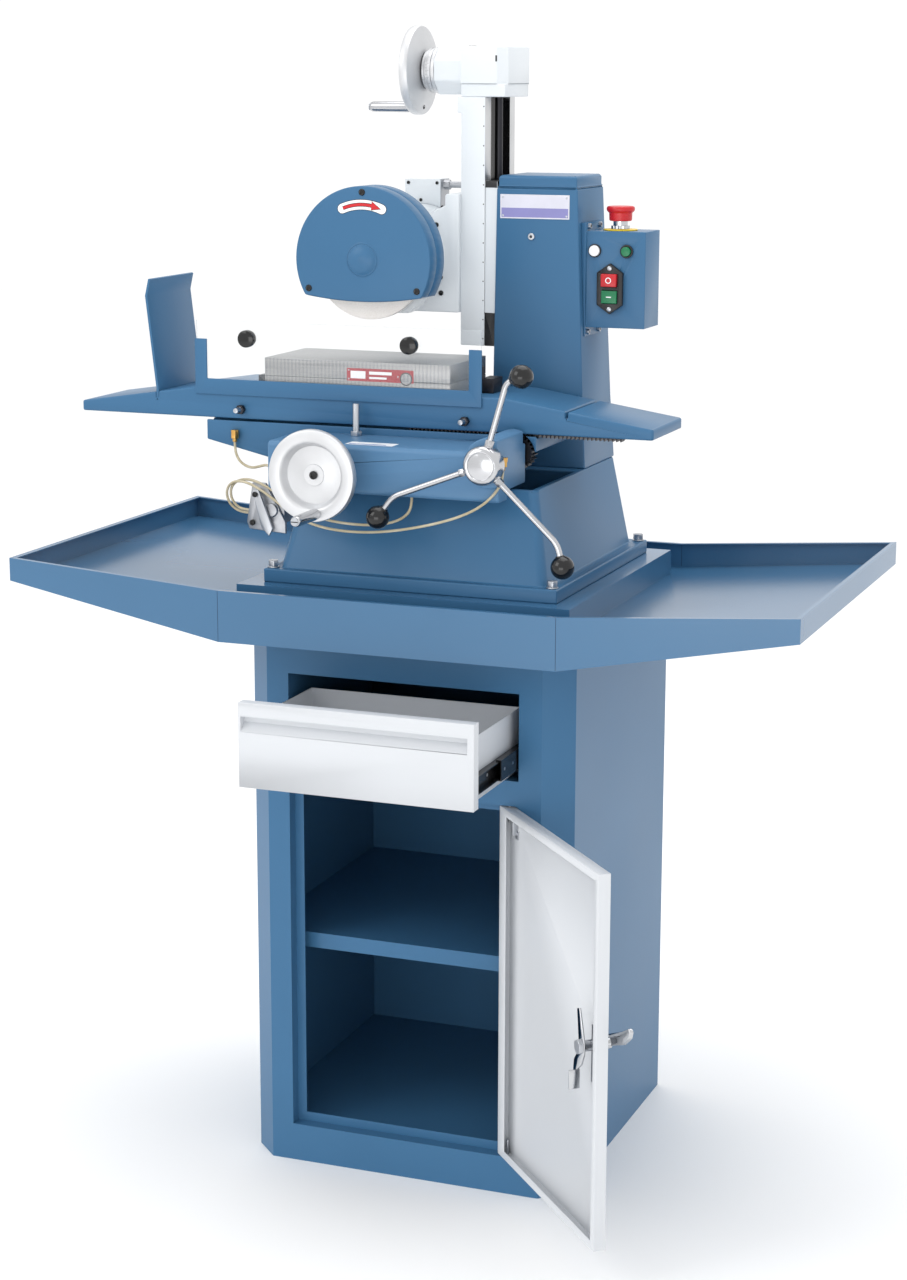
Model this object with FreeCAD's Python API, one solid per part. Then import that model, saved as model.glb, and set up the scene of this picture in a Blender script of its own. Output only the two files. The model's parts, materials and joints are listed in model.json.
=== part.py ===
"""Manual surface grinder on a steel cabinet stand with drip trays.

Millimetres. +X to the operator's right, +Y away from the operator, +Z up. The origin is the centre
of the cabinet's footprint, on the floor. Every function below makes one node or a few that belong
together, and every moving piece is drawn where it stands at rest.
"""
import FreeCAD, Part
import math
import os

V = FreeCAD.Vector
os.makedirs("parts", exist_ok=True)

# ---- running fits and gaps ----
FIT = 0.05            # radial clearance of a shaft in its bore
GAP = 0.4             # clearance between sliding faces

# ---- cabinet ----
CAB_HALF, CAB_FRONT, CAB_REAR, CAB_H = 257.0, -249.0, 249.0, 868.0
CHAMFER = 39.0        # leg of the bevelled front corners
SHEET = 2.0
JAMB_X = 183.0        # half width of the drawer and door openings
DRAWER_Z = (645.0, 776.0)
DOOR_Z = (59.0, 607.0)
JAMB_DEPTH = 22.0
ANCHOR_X, ANCHOR_Y, ANCHOR_R = 241.0, 200.0, 6.0
FOOT_RING = 32.0
WALL = 12.0           # thickness of the castings
FLOOR_TOP, DIVIDER_TOP, SHELF_TOP = 55.0, 624.0, 358.0
SHELF_FRONT, SHELF_LIP = -204.0, 24.0

# ---- drawer ----
DRAWER_OUT = 178.0    # how far it is pulled out at rest
DRAWER_DEEP = 210.0
DRAWER_HALF = 168.0
PULL_Z = (729.0, 751.0)
RAIL_LEN, RAIL_MID, RAIL_HALF = 200.0, 678.5, 17.5
RAIL_T = 1.4

# ---- door ----
DOOR_OPEN = 131.7     # degrees from closed
DOOR_T, DOOR_SKIN, DOOR_LIP = 18.0, 1.5, 12.0
HINGE_X, HINGE_Y, HINGE_R = 168.0, CAB_FRONT + 6.0, 2.5
DOOR_REACH = 348.0    # hinge pin to the free edge
DOOR_BACK = 10.5      # hinge pin to the hinge-side edge
LATCH_X, LATCH_Z, LATCH_R = HINGE_X - 317.0, 352.0, 8.0

# ---- trays and machine pad ----
TRAY_FRONT, TRAY_REAR, TRAY_HALF = -322.0, 311.0, 262.0
TRAY_FLOOR = 870.0
SKIRT_Z, RIM_Z = 832.0, 909.0
WING_OUT = 610.0
TIP_LOW, TIP_HIGH = 899.0, 934.0
HEM = 8.0
PAD_FRONT, PAD_REAR, PAD_HALF, PAD_TOP, PAD_SHEET = -259.0, 250.0, 261.0, 908.0, 3.0

# ---- base casting ----
BASE_Z = 928.0        # top of the foot flange
BASE_TOP = 1062.0
BOLT_X, BOLT_Y, BOLT_R = (-221.0, 219.5), (-214.0, 205.0), 5.0
WAY_Z = 1066.0        # top of the cross ways
WAY_Y = (-171.0, 20.0)
KEY_X, KEY_H = (-167.0, -157.0), 8.0
NUT_Y = (-150.0, -120.0)

# ---- column and vertical slide ----
COL_FRONT = 46.0
COL_TOP = 1482.0
COL_LEVELS = ((1062.0, 28.0, 181.0, 195.0), (1160.0, 31.0, 176.0, 188.0), (COL_TOP, 36.0, 164.0, 173.0))
COL_WALL = 10.0
SLIDE_X, SLIDE_Y, SLIDE_Z = (-23.0, 16.0), (49.0, 181.0), (1243.0, 1616.0)
GUIDE_Y, GUIDE_Z = (49.0, 172.0), (1294.0, 1482.0)
GROOVE_Y, GROOVE_DEEP, DOVETAIL = (75.0, 158.0), 16.0, 8.0
SCREW_X, SCREW_Y, SCREW_R = 18.0, 103.0, 6.0
ELEV_NUT_Z = (1442.0, 1480.0)
ELEV_Z = 1655.0       # height of the elevating handwheel's axis
ELEV_RIM = -121.0     # left side of the elevating handwheel
GEARBOX_X, GEARBOX_Y, GEARBOX_TOP = (-25.0, 48.0), (49.0, 157.0), 1690.0
BEVEL_R, BEVEL_TEETH = 15.0, 18

# ---- wheel head ----
CX = -119.0           # centre line of wheel, table and chuck
SPINDLE_Z, SPINDLE_R = 1380.0, 12.5
WHEEL_R, WHEEL_T, WHEEL_BORE = 90.0, 13.0, 15.875
WHEEL_Y = -83.0       # front face of the wheel
GUARD_R = 108.0
GUARD_Y = (-109.0, -81.0, -51.0)
MOTOR_R, MOTOR_END = 72.0, 180.0
FLANGE_R = 95.0

# ---- table and saddle ----
TABLE_Y = (-137.0, 12.0)
TABLE_BOTTOM, TABLE_TIP, TABLE_TOP = 1137.5, 1153.0, 1188.0
TABLE_HALF, TABLE_KNEE = 462.0, 232.0
SADDLE_X, SADDLE_Y, SADDLE_TOP = (-366.0, 166.0), (-137.0, 9.0), 1134.0
SADDLE_LOW = WAY_Z + 0.3
RAILS_Y = ((-100.0, -80.0), (-30.0, -10.0))
GROOVE_TOP = 1152.0   # roof of the grooves under the table
APRON_X, APRON_FRONT = (-211.0, 150.0), -251.0
APRON_TOP, APRON_LOW, APRON_STEP = 1124.0, 1052.0, -214.0
CHUCK_L, CHUCK_W, CHUCK_H, CHUCK_FRONT = 300.0, 150.0, 44.0, -134.0

# ---- hand controls ----
HANDWHEEL_R = 67.0
CROSS_X, CROSS_Z, CROSS_RIM = -116.0, 1085.0, -311.0
FEED_R = 8.0
GRIP_LEN, GRIP_R, GRIP_RADIUS, GRIP_PIN = 73.0, 8.5, 55.0, 3.0
CAP_X, CAP_Z = 136.0, 1110.0
CAP_HUB_Y, CAP_HUB_R = (-290.0, -262.0), 28.0
ARM_R, BALL_R = 4.5, 17.0
RACK_MODULE, PINION_TEETH = 2.0, 24
PINION_R = RACK_MODULE * PINION_TEETH / 2
PINION_Y = (-131.0, -115.0)
RACK_X = (-40.0, 300.0)

# ---- control box ----
BOX_X, BOX_Y, BOX_Z = (174.0, 266.0), (64.0, 137.0), (1276.0, 1420.0)
SWITCH_X, SWITCH_Z = 212.5, 1335.0
BUTTON_HALF = (12.0, 9.5)
STOP_X, STOP_Y, STOP_R = 215.0, 101.0, 11.0

# ---- oil hoses ----
HOSE_R = 2.0


# ======================= helpers =======================
def box(x0, x1, y0, y1, z0, z1):
    """Box between two corners."""
    return Part.makeBox(x1 - x0, y1 - y0, z1 - z0, V(x0, y0, z0))


def rod_x(y, z, x0, x1, r):
    return Part.makeCylinder(r, x1 - x0, V(x0, y, z), V(1, 0, 0))


def rod_y(x, z, y0, y1, r):
    return Part.makeCylinder(r, y1 - y0, V(x, y0, z), V(0, 1, 0))


def rod_z(x, y, z0, z1, r):
    return Part.makeCylinder(r, z1 - z0, V(x, y, z0), V(0, 0, 1))


def ring_wire(points):
    return Part.makePolygon(list(points) + [points[0]])


def prism(points, axis, lo, hi):
    """Polygon swept along one axis. Points are (y, z), (x, z) or (x, y) for axis x, y or z."""
    place = {"x": lambda a, b: V(lo, a, b), "y": lambda a, b: V(a, lo, b), "z": lambda a, b: V(a, b, lo)}
    sweep = {"x": V(hi - lo, 0, 0), "y": V(0, hi - lo, 0), "z": V(0, 0, hi - lo)}
    return Part.Face(ring_wire([place[axis](a, b) for a, b in points])).extrude(sweep[axis])


def frustum(low, high, z0, z1):
    """Straight-sided block between two rectangles (x0, x1, y0, y1) at two heights."""
    wires = []
    for (x0, x1, y0, y1), z in ((low, z0), (high, z1)):
        wires.append(ring_wire([V(x0, y0, z), V(x1, y0, z), V(x1, y1, z), V(x0, y1, z)]))
    return Part.makeLoft(wires, True, True)


def turned(profile, origin, axis):
    """Solid of revolution. Profile is (radius, distance along axis) pairs."""
    solid = Part.Face(ring_wire([V(r, 0, d) for r, d in profile])).revolve(V(0, 0, 0), V(0, 0, 1), 360)
    solid.Placement = FreeCAD.Placement(origin, FreeCAD.Rotation(V(0, 0, 1), axis))
    return solid


def hexagon(centre, axis, flats, height):
    """Hexagonal prism, such as a nut or a bolt head."""
    r = flats / math.sqrt(3)
    corners = [V(r * math.cos(math.radians(60 * i)), r * math.sin(math.radians(60 * i)), 0) for i in range(6)]
    solid = Part.Face(ring_wire(corners)).extrude(V(0, 0, height))
    solid.Placement = FreeCAD.Placement(centre, FreeCAD.Rotation(V(0, 0, 1), axis))
    return solid


def runs_along(edge, axis):
    """True for a straight edge that is mostly parallel to an axis."""
    span = edge.Vertexes[-1].Point - edge.Vertexes[0].Point
    return abs(edge.Length - span.Length) < 0.001 and abs(span.dot(axis)) > 0.9 * span.Length


def rounded(solid, radius, wanted):
    """Fillet the edges for which wanted(edge) is true."""
    return solid.makeFillet(radius, [e for e in solid.Edges if wanted(e)])


def joined(shapes):
    """Fuse overlapping shapes into one solid."""
    return shapes[0].multiFuse(shapes[1:]).removeSplitter()


def mirrored(shape):
    return shape.mirror(V(0, 0, 0), V(1, 0, 0))


def save(node, *shapes):
    """Write one STEP file. Several solids stay separate pieces of one node."""
    pieces = [solid for shape in shapes for solid in shape.Solids]
    whole = pieces[0] if len(pieces) == 1 else Part.makeCompound(pieces)
    if not whole.isValid():
        print("INVALID", node)
    whole.exportStep("parts/" + node + ".step")
    print(node, len(pieces), "solid(s)", round(sum(s.Volume for s in pieces) / 1000.0, 1), "cm3")


# ======================= cabinet =======================
def cabinet_outline(inset):
    """Footprint with bevelled front corners, offset inwards."""
    w, front, rear = CAB_HALF - inset, CAB_FRONT + inset, CAB_REAR - inset
    leg = CHAMFER - inset * (2 - math.sqrt(2))
    return [(-w, front + leg), (-w + leg, front), (w - leg, front), (w, front + leg), (w, rear), (-w, rear)]


def jamb_ring(z_range, depth):
    """Return flange around an opening in the cabinet front."""
    z0, z1 = z_range
    outer = box(-JAMB_X - SHEET, JAMB_X + SHEET, CAB_FRONT, CAB_FRONT + depth, z0 - SHEET, z1 + SHEET)
    return outer.cut(box(-JAMB_X, JAMB_X, CAB_FRONT - 1, CAB_FRONT + depth + 1, z0, z1))


def make_cabinet_shell():
    shell = prism(cabinet_outline(0), "z", 0, CAB_H)
    shell = shell.cut(prism(cabinet_outline(SHEET), "z", SHEET, CAB_H + 1))
    shell = shell.cut(prism(cabinet_outline(FOOT_RING), "z", -1, SHEET + 1))
    for z0, z1 in (DRAWER_Z, DOOR_Z):
        shell = shell.cut(box(-JAMB_X, JAMB_X, CAB_FRONT - 1, CAB_FRONT + SHEET + 1, z0, z1))
    stop_y = CAB_FRONT + JAMB_DEPTH - SHEET
    stop = box(-JAMB_X, HINGE_X - 10, stop_y, stop_y + SHEET, *DOOR_Z)
    stop = stop.cut(box(-JAMB_X + 14, JAMB_X, stop_y - 1, 0, DOOR_Z[0] + 14, DOOR_Z[1] - 14))
    cheek = box(JAMB_X, JAMB_X + SHEET, CAB_FRONT + 1, 60, *DRAWER_Z)
    shell = joined([shell, jamb_ring(DRAWER_Z, JAMB_DEPTH), jamb_ring(DOOR_Z, JAMB_DEPTH), stop,
                    cheek, mirrored(cheek)])
    for x in (-ANCHOR_X, ANCHOR_X):
        for y in (-ANCHOR_Y, ANCHOR_Y):
            shell = shell.cut(rod_z(x, y, -1, SHEET + 1, ANCHOR_R))
    for z in DOOR_Z:
        shell = shell.cut(rod_z(HINGE_X, HINGE_Y, z - 4, z + 4, HINGE_R + FIT))
    save("cabinet_shell", shell)


def make_cabinet_panels():
    inside = cabinet_outline(SHEET + 0.5)
    jambs = box(-JAMB_X - SHEET - 0.5, JAMB_X + SHEET + 0.5, CAB_FRONT, CAB_FRONT + JAMB_DEPTH + 0.5,
                DOOR_Z[0] - SHEET, DRAWER_Z[1])
    floor = prism(inside, "z", FLOOR_TOP - SHEET, FLOOR_TOP)
    divider = prism(inside, "z", DIVIDER_TOP - SHEET, DIVIDER_TOP).cut(jambs)
    half = CAB_HALF - SHEET - 0.5
    shelf = box(-half, half, SHELF_FRONT, CAB_REAR - SHEET - 0.5, SHELF_TOP - SHEET, SHELF_TOP)
    lip = box(-half, half, SHELF_FRONT, SHELF_FRONT + SHEET, SHELF_TOP - SHELF_LIP, SHELF_TOP)
    save("cabinet_panels", floor, divider, joined([shelf, lip]))


def drawer_rail(x_open, x_web, half_height, y0):
    """One channel of a drawer slide on the right side. Its flanges run from the web to x_open."""
    lo, hi = min(x_open, x_web), max(x_open, x_web)
    channel = box(lo, hi, y0, y0 + RAIL_LEN, RAIL_MID - half_height, RAIL_MID + half_height)
    shift = RAIL_T if x_web < x_open else -RAIL_T
    inner = half_height - RAIL_T
    return channel.cut(box(lo + shift, hi + shift, y0 - 1, y0 + RAIL_LEN + 1, RAIL_MID - inner, RAIL_MID + inner))


def make_drawer():
    """Drawer, drawn pulled out, on two telescopic slides of three members each."""
    front = CAB_FRONT - DRAWER_OUT
    z0 = DRAWER_Z[0] + 1.5
    face = box(-180.5, 180.5, front, front + DOOR_T, z0, DRAWER_Z[1] - 4)
    face = face.cut(box(-177, 170, front - 1, front + 14, *PULL_Z))
    tray = box(-DRAWER_HALF, DRAWER_HALF, front + DOOR_T, front + DOOR_T + DRAWER_DEEP, z0 + 4, z0 + 98)
    wall = 1.5
    tray = tray.cut(box(-DRAWER_HALF + wall, DRAWER_HALF - wall, front + DOOR_T,
                        front + DOOR_T + DRAWER_DEEP - wall, z0 + 4 + wall, z0 + 99))
    save("drawer", joined([face, tray]))
    y_fixed = CAB_FRONT + JAMB_DEPTH - 1
    inner = drawer_rail(178.0, DRAWER_HALF, RAIL_HALF - 4, y_fixed - DRAWER_OUT)
    middle = drawer_rail(172.5, JAMB_X - 2, RAIL_HALF - 2, y_fixed - DRAWER_OUT / 2)
    outer = drawer_rail(174.5, JAMB_X, RAIL_HALF, y_fixed)
    for node, rail in (("drawer_inner_rails", inner), ("drawer_mid_rails", middle), ("drawer_outer_rails", outer)):
        save(node, rail, mirrored(rail))


def swung(shape):
    """Turn a shape drawn on the closed door out to where the door stands open."""
    shape.rotate(V(HINGE_X, HINGE_Y, 0), V(0, 0, 1), DOOR_OPEN)
    return shape


def make_door():
    """Pan-shaped door, its pivot pins and its latch plate."""
    x0, x1 = HINGE_X - DOOR_REACH, HINGE_X + DOOR_BACK
    y0, y1 = CAB_FRONT, CAB_FRONT + DOOR_T
    z0, z1 = DOOR_Z[0] + 2, DOOR_Z[1] - 2
    skin, lip = DOOR_SKIN, DOOR_LIP
    pan = box(x0, x1, y0, y1, z0, z1)
    pan = pan.cut(box(x0 + skin, x1 - skin, y0 + skin, y1 - skin, z0 + skin, z1 - skin))
    pan = pan.cut(box(x0 + lip, x1 - 2 * lip, y1 - 3, y1 + 1, z0 + lip, z1 - lip))
    pan = pan.cut(rod_y(LATCH_X, LATCH_Z, y0 - 1, y0 + 3, LATCH_R + FIT))
    for z in (z0, z1):
        pan = pan.cut(rod_z(HINGE_X, HINGE_Y, z - 3, z + 3, HINGE_R))
    save("door_panel", swung(pan))
    low_pin = rod_z(HINGE_X, HINGE_Y, DOOR_Z[0] - 3.5, z0 + 24, HINGE_R)
    top_pin = rod_z(HINGE_X, HINGE_Y, z1 - 24, DOOR_Z[1] + 5, HINGE_R)
    plate = box(LATCH_X - 13, LATCH_X + 15, y0 + skin, y0 + skin + 3, LATCH_Z - 60, LATCH_Z + 24)
    plate = plate.cut(rod_y(LATCH_X, LATCH_Z, y0, y0 + 6, LATCH_R + FIT))
    save("door_fittings", swung(low_pin), swung(top_pin), swung(plate))
    make_latch(y0, y1)


def make_latch(y0, y1):
    """Latch: outside lever, shaft through the door and the hooked cam inside."""
    shaft = rod_y(LATCH_X, LATCH_Z, y0 - 17, y1 + 10, LATCH_R)
    lever = [(9, -9), (9, 9), (-40, 30), (-62, 42), (-67, 38), (-64, 28), (-44, 12)]
    cam = [(9, -8), (9, 8), (15, 50), (7, 53), (-9, 8), (-9, -10), (0, -28), (12, -38), (10, -62), (20, -66),
           (27, -48), (24, -26)]
    outside = prism([(LATCH_X + a, LATCH_Z + b) for a, b in lever], "y", y0 - 21, y0 - 15)
    inside = prism([(LATCH_X + a, LATCH_Z + b) for a, b in cam], "y", y1 + 6, y1 + 9)
    save("latch_handle", swung(joined([shaft, outside, inside])))


# ======================= trays and pad =======================
def make_trays():
    half = TRAY_HALF
    floor = box(-half, half, TRAY_FRONT, TRAY_REAR, TRAY_FLOOR - SHEET, TRAY_FLOOR)
    front = box(-half, half, TRAY_FRONT, TRAY_FRONT + SHEET, SKIRT_Z, RIM_Z)
    rear = box(-half, half, TRAY_REAR - SHEET, TRAY_REAR, SKIRT_Z, RIM_Z)
    hem_front = box(-half, half, TRAY_FRONT, TRAY_FRONT + HEM, RIM_Z - SHEET, RIM_Z)
    hem_rear = box(-half, half, TRAY_REAR - HEM, TRAY_REAR, RIM_Z - SHEET, RIM_Z)
    save("centre_tray", joined([floor, front, rear, hem_front, hem_rear]))
    save("right_wing", make_wing())
    save("left_wing", mirrored(make_wing()))


def make_wing():
    """Side tray that rises outwards: floor, front and rear skirts, outer wall and rolled rim."""
    x0, x1 = TRAY_HALF, WING_OUT
    skirt = [(x0, SKIRT_Z), (x0, RIM_Z), (x1, TIP_HIGH), (x1, TIP_LOW)]
    rim = [(x0, RIM_Z - SHEET), (x0, RIM_Z), (x1, TIP_HIGH), (x1, TIP_HIGH - SHEET)]
    floor = [(x0, TRAY_FLOOR - SHEET), (x0, TRAY_FLOOR), (x1, TIP_LOW + SHEET), (x1, TIP_LOW)]
    body = joined([
        prism(skirt, "y", TRAY_FRONT, TRAY_FRONT + SHEET),
        prism(skirt, "y", TRAY_REAR - SHEET, TRAY_REAR),
        prism(floor, "y", TRAY_FRONT, TRAY_REAR),
        prism(rim, "y", TRAY_FRONT, TRAY_FRONT + HEM),
        prism(rim, "y", TRAY_REAR - HEM, TRAY_REAR),
        box(x1 - SHEET, x1, TRAY_FRONT, TRAY_REAR, TIP_LOW, TIP_HIGH),
    ])
    edge = prism(rim, "y", TRAY_FRONT, TRAY_REAR).common(box(x1 - HEM, x1, TRAY_FRONT, TRAY_REAR, 0, TIP_HIGH))
    return joined([body, edge])


def make_pad():
    pad = box(-PAD_HALF, PAD_HALF, PAD_FRONT, PAD_REAR, TRAY_FLOOR, PAD_TOP)
    t = PAD_SHEET
    pad = pad.cut(box(-PAD_HALF + t, PAD_HALF - t, PAD_FRONT + t, PAD_REAR - t, TRAY_FLOOR - 1, PAD_TOP - t))
    for x in BOLT_X:
        for y in BOLT_Y:
            pad = pad.cut(rod_z(x, y, PAD_TOP - 10, PAD_TOP + 1, BOLT_R + 0.3))
    save("machine_pad", pad)


# ======================= base and column =======================
def make_base():
    flange = box(-231, 231, -228, 217, PAD_TOP, BASE_Z)
    foot, crown = (-212, 210, -215, 200), (-184, 182, -180, 196)
    body = frustum(foot, crown, BASE_Z - 1, BASE_TOP)
    body = rounded(body, 14, lambda e: runs_along(e, V(0, 0, 1)))
    pocket = frustum((-178, 172, -174, 16), (-174, 172, -172, 21), 960, BASE_TOP + 1)
    hollow = box(-196, 194, -198, 186, PAD_TOP - 1, 948)
    rear = box(-172, 166, 33, 184, 947, BASE_TOP - 12)
    casting = joined([flange, body]).cut(pocket).cut(hollow).cut(rear)
    ways = [box(-174, -150, *WAY_Y, 950, WAY_Z), box(24, 56, *WAY_Y, 950, WAY_Z)]
    key = box(*KEY_X, *WAY_Y, WAY_Z - 1, WAY_Z + KEY_H)
    nut_post = box(CROSS_X - 13, CROSS_X + 13, *NUT_Y, 950, CROSS_Z - 15)
    casting = joined([casting, key, nut_post] + ways)
    for x in BOLT_X:
        for y in BOLT_Y:
            casting = casting.cut(rod_z(x, y, PAD_TOP - 1, BASE_Z + 1, BOLT_R + 0.3))
    save("base_casting", casting)
    bolts = []
    for x in BOLT_X:
        for y in BOLT_Y:
            washer = rod_z(x, y, BASE_Z, BASE_Z + 2, 9).cut(rod_z(x, y, BASE_Z - 1, BASE_Z + 3, BOLT_R))
            head = hexagon(V(x, y, BASE_Z + 2), V(0, 0, 1), 14, 9)
            bolts += [washer, joined([head, rod_z(x, y, PAD_TOP - 16, BASE_Z + 3, BOLT_R)])]
    save("base_bolts", *bolts)


def make_lead_nuts():
    """Bronze nuts for the cross-feed screw and the elevating screw."""
    cross = box(CROSS_X - 13, CROSS_X + 13, *NUT_Y, CROSS_Z - 15, CROSS_Z + 14)
    cross = cross.cut(rod_y(CROSS_X, CROSS_Z, NUT_Y[0] - 1, NUT_Y[1] + 1, FEED_R + FIT))
    lift = box(SCREW_X - 12, SCREW_X + 12, SCREW_Y - 12, SCREW_Y + 12, *ELEV_NUT_Z)
    lift = lift.cut(rod_z(SCREW_X, SCREW_Y, 1400, 1500, SCREW_R + FIT))
    save("lead_nuts", cross, lift)


def column_body(inset):
    """Tapered column as two stacked lofts, each face drawn in by inset."""
    stages = []
    for (z0, *low), (z1, *high) in zip(COL_LEVELS, COL_LEVELS[1:]):
        sections = []
        for left, right, rear in (low, high):
            sections.append((left + inset, right - inset, COL_FRONT + inset, rear - inset))
        stages.append(frustum(sections[0], sections[1], z0, z1))
    return stages[0].fuse(stages[1])


def make_column():
    body = column_body(0).cut(column_body(COL_WALL))
    top = COL_TOP + 2
    lid = box(37, 163, COL_FRONT + 1, 172, COL_TOP, top)
    cap = box(38, 162, COL_FRONT + 3, 171, top, top + 17)
    cap = rounded(cap, 5, lambda e: e.BoundBox.ZMin > top + 1)
    save("column", body, joined([lid, cap]))


def make_guide():
    """Dovetail guide on the column's left face, with its upper wiper and lower cover."""
    x0 = SLIDE_X[1] + GAP
    lean = GAP * math.hypot(DOVETAIL, GROOVE_DEEP) / GROOVE_DEEP
    front, rear = GROOVE_Y[0] + lean, GROOVE_Y[1] - lean
    under = DOVETAIL * (GROOVE_DEEP - GAP) / GROOVE_DEEP
    tongue = [(x0 - GROOVE_DEEP, front - under), (x0, front), (x0 + 1, front), (x0 + 1, rear), (x0, rear),
              (x0 - GROOVE_DEEP, rear + under)]
    block = box(x0, 40, *GUIDE_Y, *GUIDE_Z)
    nut_room = box(SCREW_X - 12, SCREW_X + 12, SCREW_Y - 12, SCREW_Y + 12, *ELEV_NUT_Z)
    guide = joined([block, prism(tongue, "z", *GUIDE_Z)]).cut(column_body(0)).cut(nut_room)
    guide = guide.cut(rod_z(SCREW_X, SCREW_Y, GUIDE_Z[0] - 1, GUIDE_Z[1] + 1, SCREW_R + 1.5))
    wiper = box(x0, 36, *GUIDE_Y, GUIDE_Z[1], GUIDE_Z[1] + 10)
    wiper = wiper.cut(rod_z(SCREW_X, SCREW_Y, GUIDE_Z[1] - 1, GUIDE_Z[1] + 11, SCREW_R + 1.5))
    cover = box(x0, 33, *GUIDE_Y, SLIDE_Z[0], GUIDE_Z[0]).cut(column_body(0))
    cover = cover.cut(rod_z(SCREW_X, SCREW_Y, SLIDE_Z[0] - 1, GUIDE_Z[0] + 1, SCREW_R + 1.5))
    save("column_guide", guide, wiper, cover)


# ======================= vertical slide and wheel head =======================
def make_slide():
    x0, x1 = SLIDE_X
    body = box(x0, x1, *SLIDE_Y, *SLIDE_Z)
    bottom = x1 - GROOVE_DEEP
    groove = [(bottom, GROOVE_Y[0] - DOVETAIL), (x1, GROOVE_Y[0]), (x1 + 1, GROOVE_Y[0]),
              (x1 + 1, GROOVE_Y[1]), (x1, GROOVE_Y[1]), (bottom, GROOVE_Y[1] + DOVETAIL)]
    body = body.cut(prism(groove, "z", SLIDE_Z[0] - 1, SLIDE_Z[1] + 1))
    lug = box(x0 - 6, x0 + 1, SLIDE_Y[0], SLIDE_Y[0] + 60, 1592, SLIDE_Z[1])
    save("vertical_slide", joined([body, lug]))


def make_gearbox():
    """Box on top of the slide that turns the handwheel's axis down to the screw."""
    (x0, x1), (y0, y1), z0, z1 = GEARBOX_X, GEARBOX_Y, SLIDE_Z[1], GEARBOX_TOP
    z_mid = z0 + 19
    block = box(x0, x1, y0, y1, z_mid, z1)
    block = block.makeChamfer(14, [e for e in block.Edges if runs_along(e, V(0, 0, 1))
                                   and e.BoundBox.XMin > x1 - 1 and e.BoundBox.YMax < y0 + 1])
    flange = box(x0 + 1, x1 - 1, y0 + 1, y1 - 1, z0, z_mid)
    corner_r = 36 / math.cos(math.radians(22.5))
    corners = [math.radians(22.5 + 45 * i) for i in range(8)]
    octagon = [(SCREW_Y + corner_r * math.cos(a), ELEV_Z + corner_r * math.sin(a)) for a in corners]
    housing = joined([block, flange, prism(octagon, "x", -75, x0 + 1)])
    wall = 8
    housing = housing.cut(box(x0 + wall, x1 - wall, SCREW_Y - 26, SCREW_Y + 26, z0 + wall, z1 - wall))
    housing = housing.cut(rod_x(SCREW_Y, ELEV_Z, -76, x0 + wall + 1, 9 + FIT))
    housing = housing.cut(rod_z(SCREW_X, SCREW_Y, z0 - 1, z0 + wall + 1, SCREW_R + FIT))
    save("gearbox_housing", housing)


def bevel_gear(shift):
    """Mitre gear about +Z. The tip of its pitch cone is the origin and its teeth face up.

    Sections of the teeth are drawn across the cone's big end and scaled towards the tip.
    """
    module = 2 * BEVEL_R / BEVEL_TEETH
    pitch = math.pi * module
    small = 0.62
    root = BEVEL_R - 1.1 * module / math.sqrt(2)
    root_z = -BEVEL_R - 1.1 * module / math.sqrt(2)
    gear = [turned([(0, root_z - 3), (root, root_z - 3), (root, root_z), (root * small, root_z * small),
                    (0, root_z * small)], V(0, 0, 0), V(0, 0, 1))]
    for i in range(BEVEL_TEETH):
        angle = 2 * math.pi * (i + shift) / BEVEL_TEETH
        wires = []
        for scale in (1.0, small):
            corners = []
            for height, half in ((-1.4, 0.27), (0.8, 0.10), (0.8, -0.10), (-1.4, -0.27)):
                rise = height * module / math.sqrt(2)
                r, z, side = BEVEL_R + rise, -BEVEL_R + rise, half * pitch
                x = r * math.cos(angle) - side * math.sin(angle)
                y = r * math.sin(angle) + side * math.cos(angle)
                corners.append(V(x * scale, y * scale, z * scale))
            wires.append(ring_wire(corners))
        gear.append(Part.makeLoft(wires, True, True))
    return joined(gear)


def handwheel(centre, axis, hub_end):
    """Dished wheel. Distance runs from its front face towards the machine."""
    r = HANDWHEEL_R
    profile = [(0, 12), (16, 12), (17, 14), (43, 14), (47, 4), (50, 0), (r - 3, 0), (r, 3), (r, 12),
               (r - 3, 15), (50, 17), (44, 20), (20, 22), (20, hub_end), (0, hub_end)]
    return turned(profile, centre, axis)


def crank_grip(centre, axis):
    """Turning sleeve of a crank handle, its base at the centre given."""
    r, end = GRIP_R, GRIP_LEN
    profile = [(GRIP_PIN, 0.4), (r - 1, 0.4), (r, 4), (r - 0.5, end - 5), (r - 2, end - 1.5), (GRIP_PIN, end - 1.5)]
    return turned(profile, centre, axis)


def crank_pin(centre, axis):
    """Pin inside the sleeve, with the slotted head that keeps it on."""
    end = GRIP_LEN
    profile = [(0, -8), (GRIP_PIN - FIT, -8), (GRIP_PIN - FIT, end - 1), (GRIP_R - 2.5, end - 1),
               (GRIP_R - 2.5, end + 1), (0, end + 1)]
    return turned(profile, centre, axis)


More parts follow.
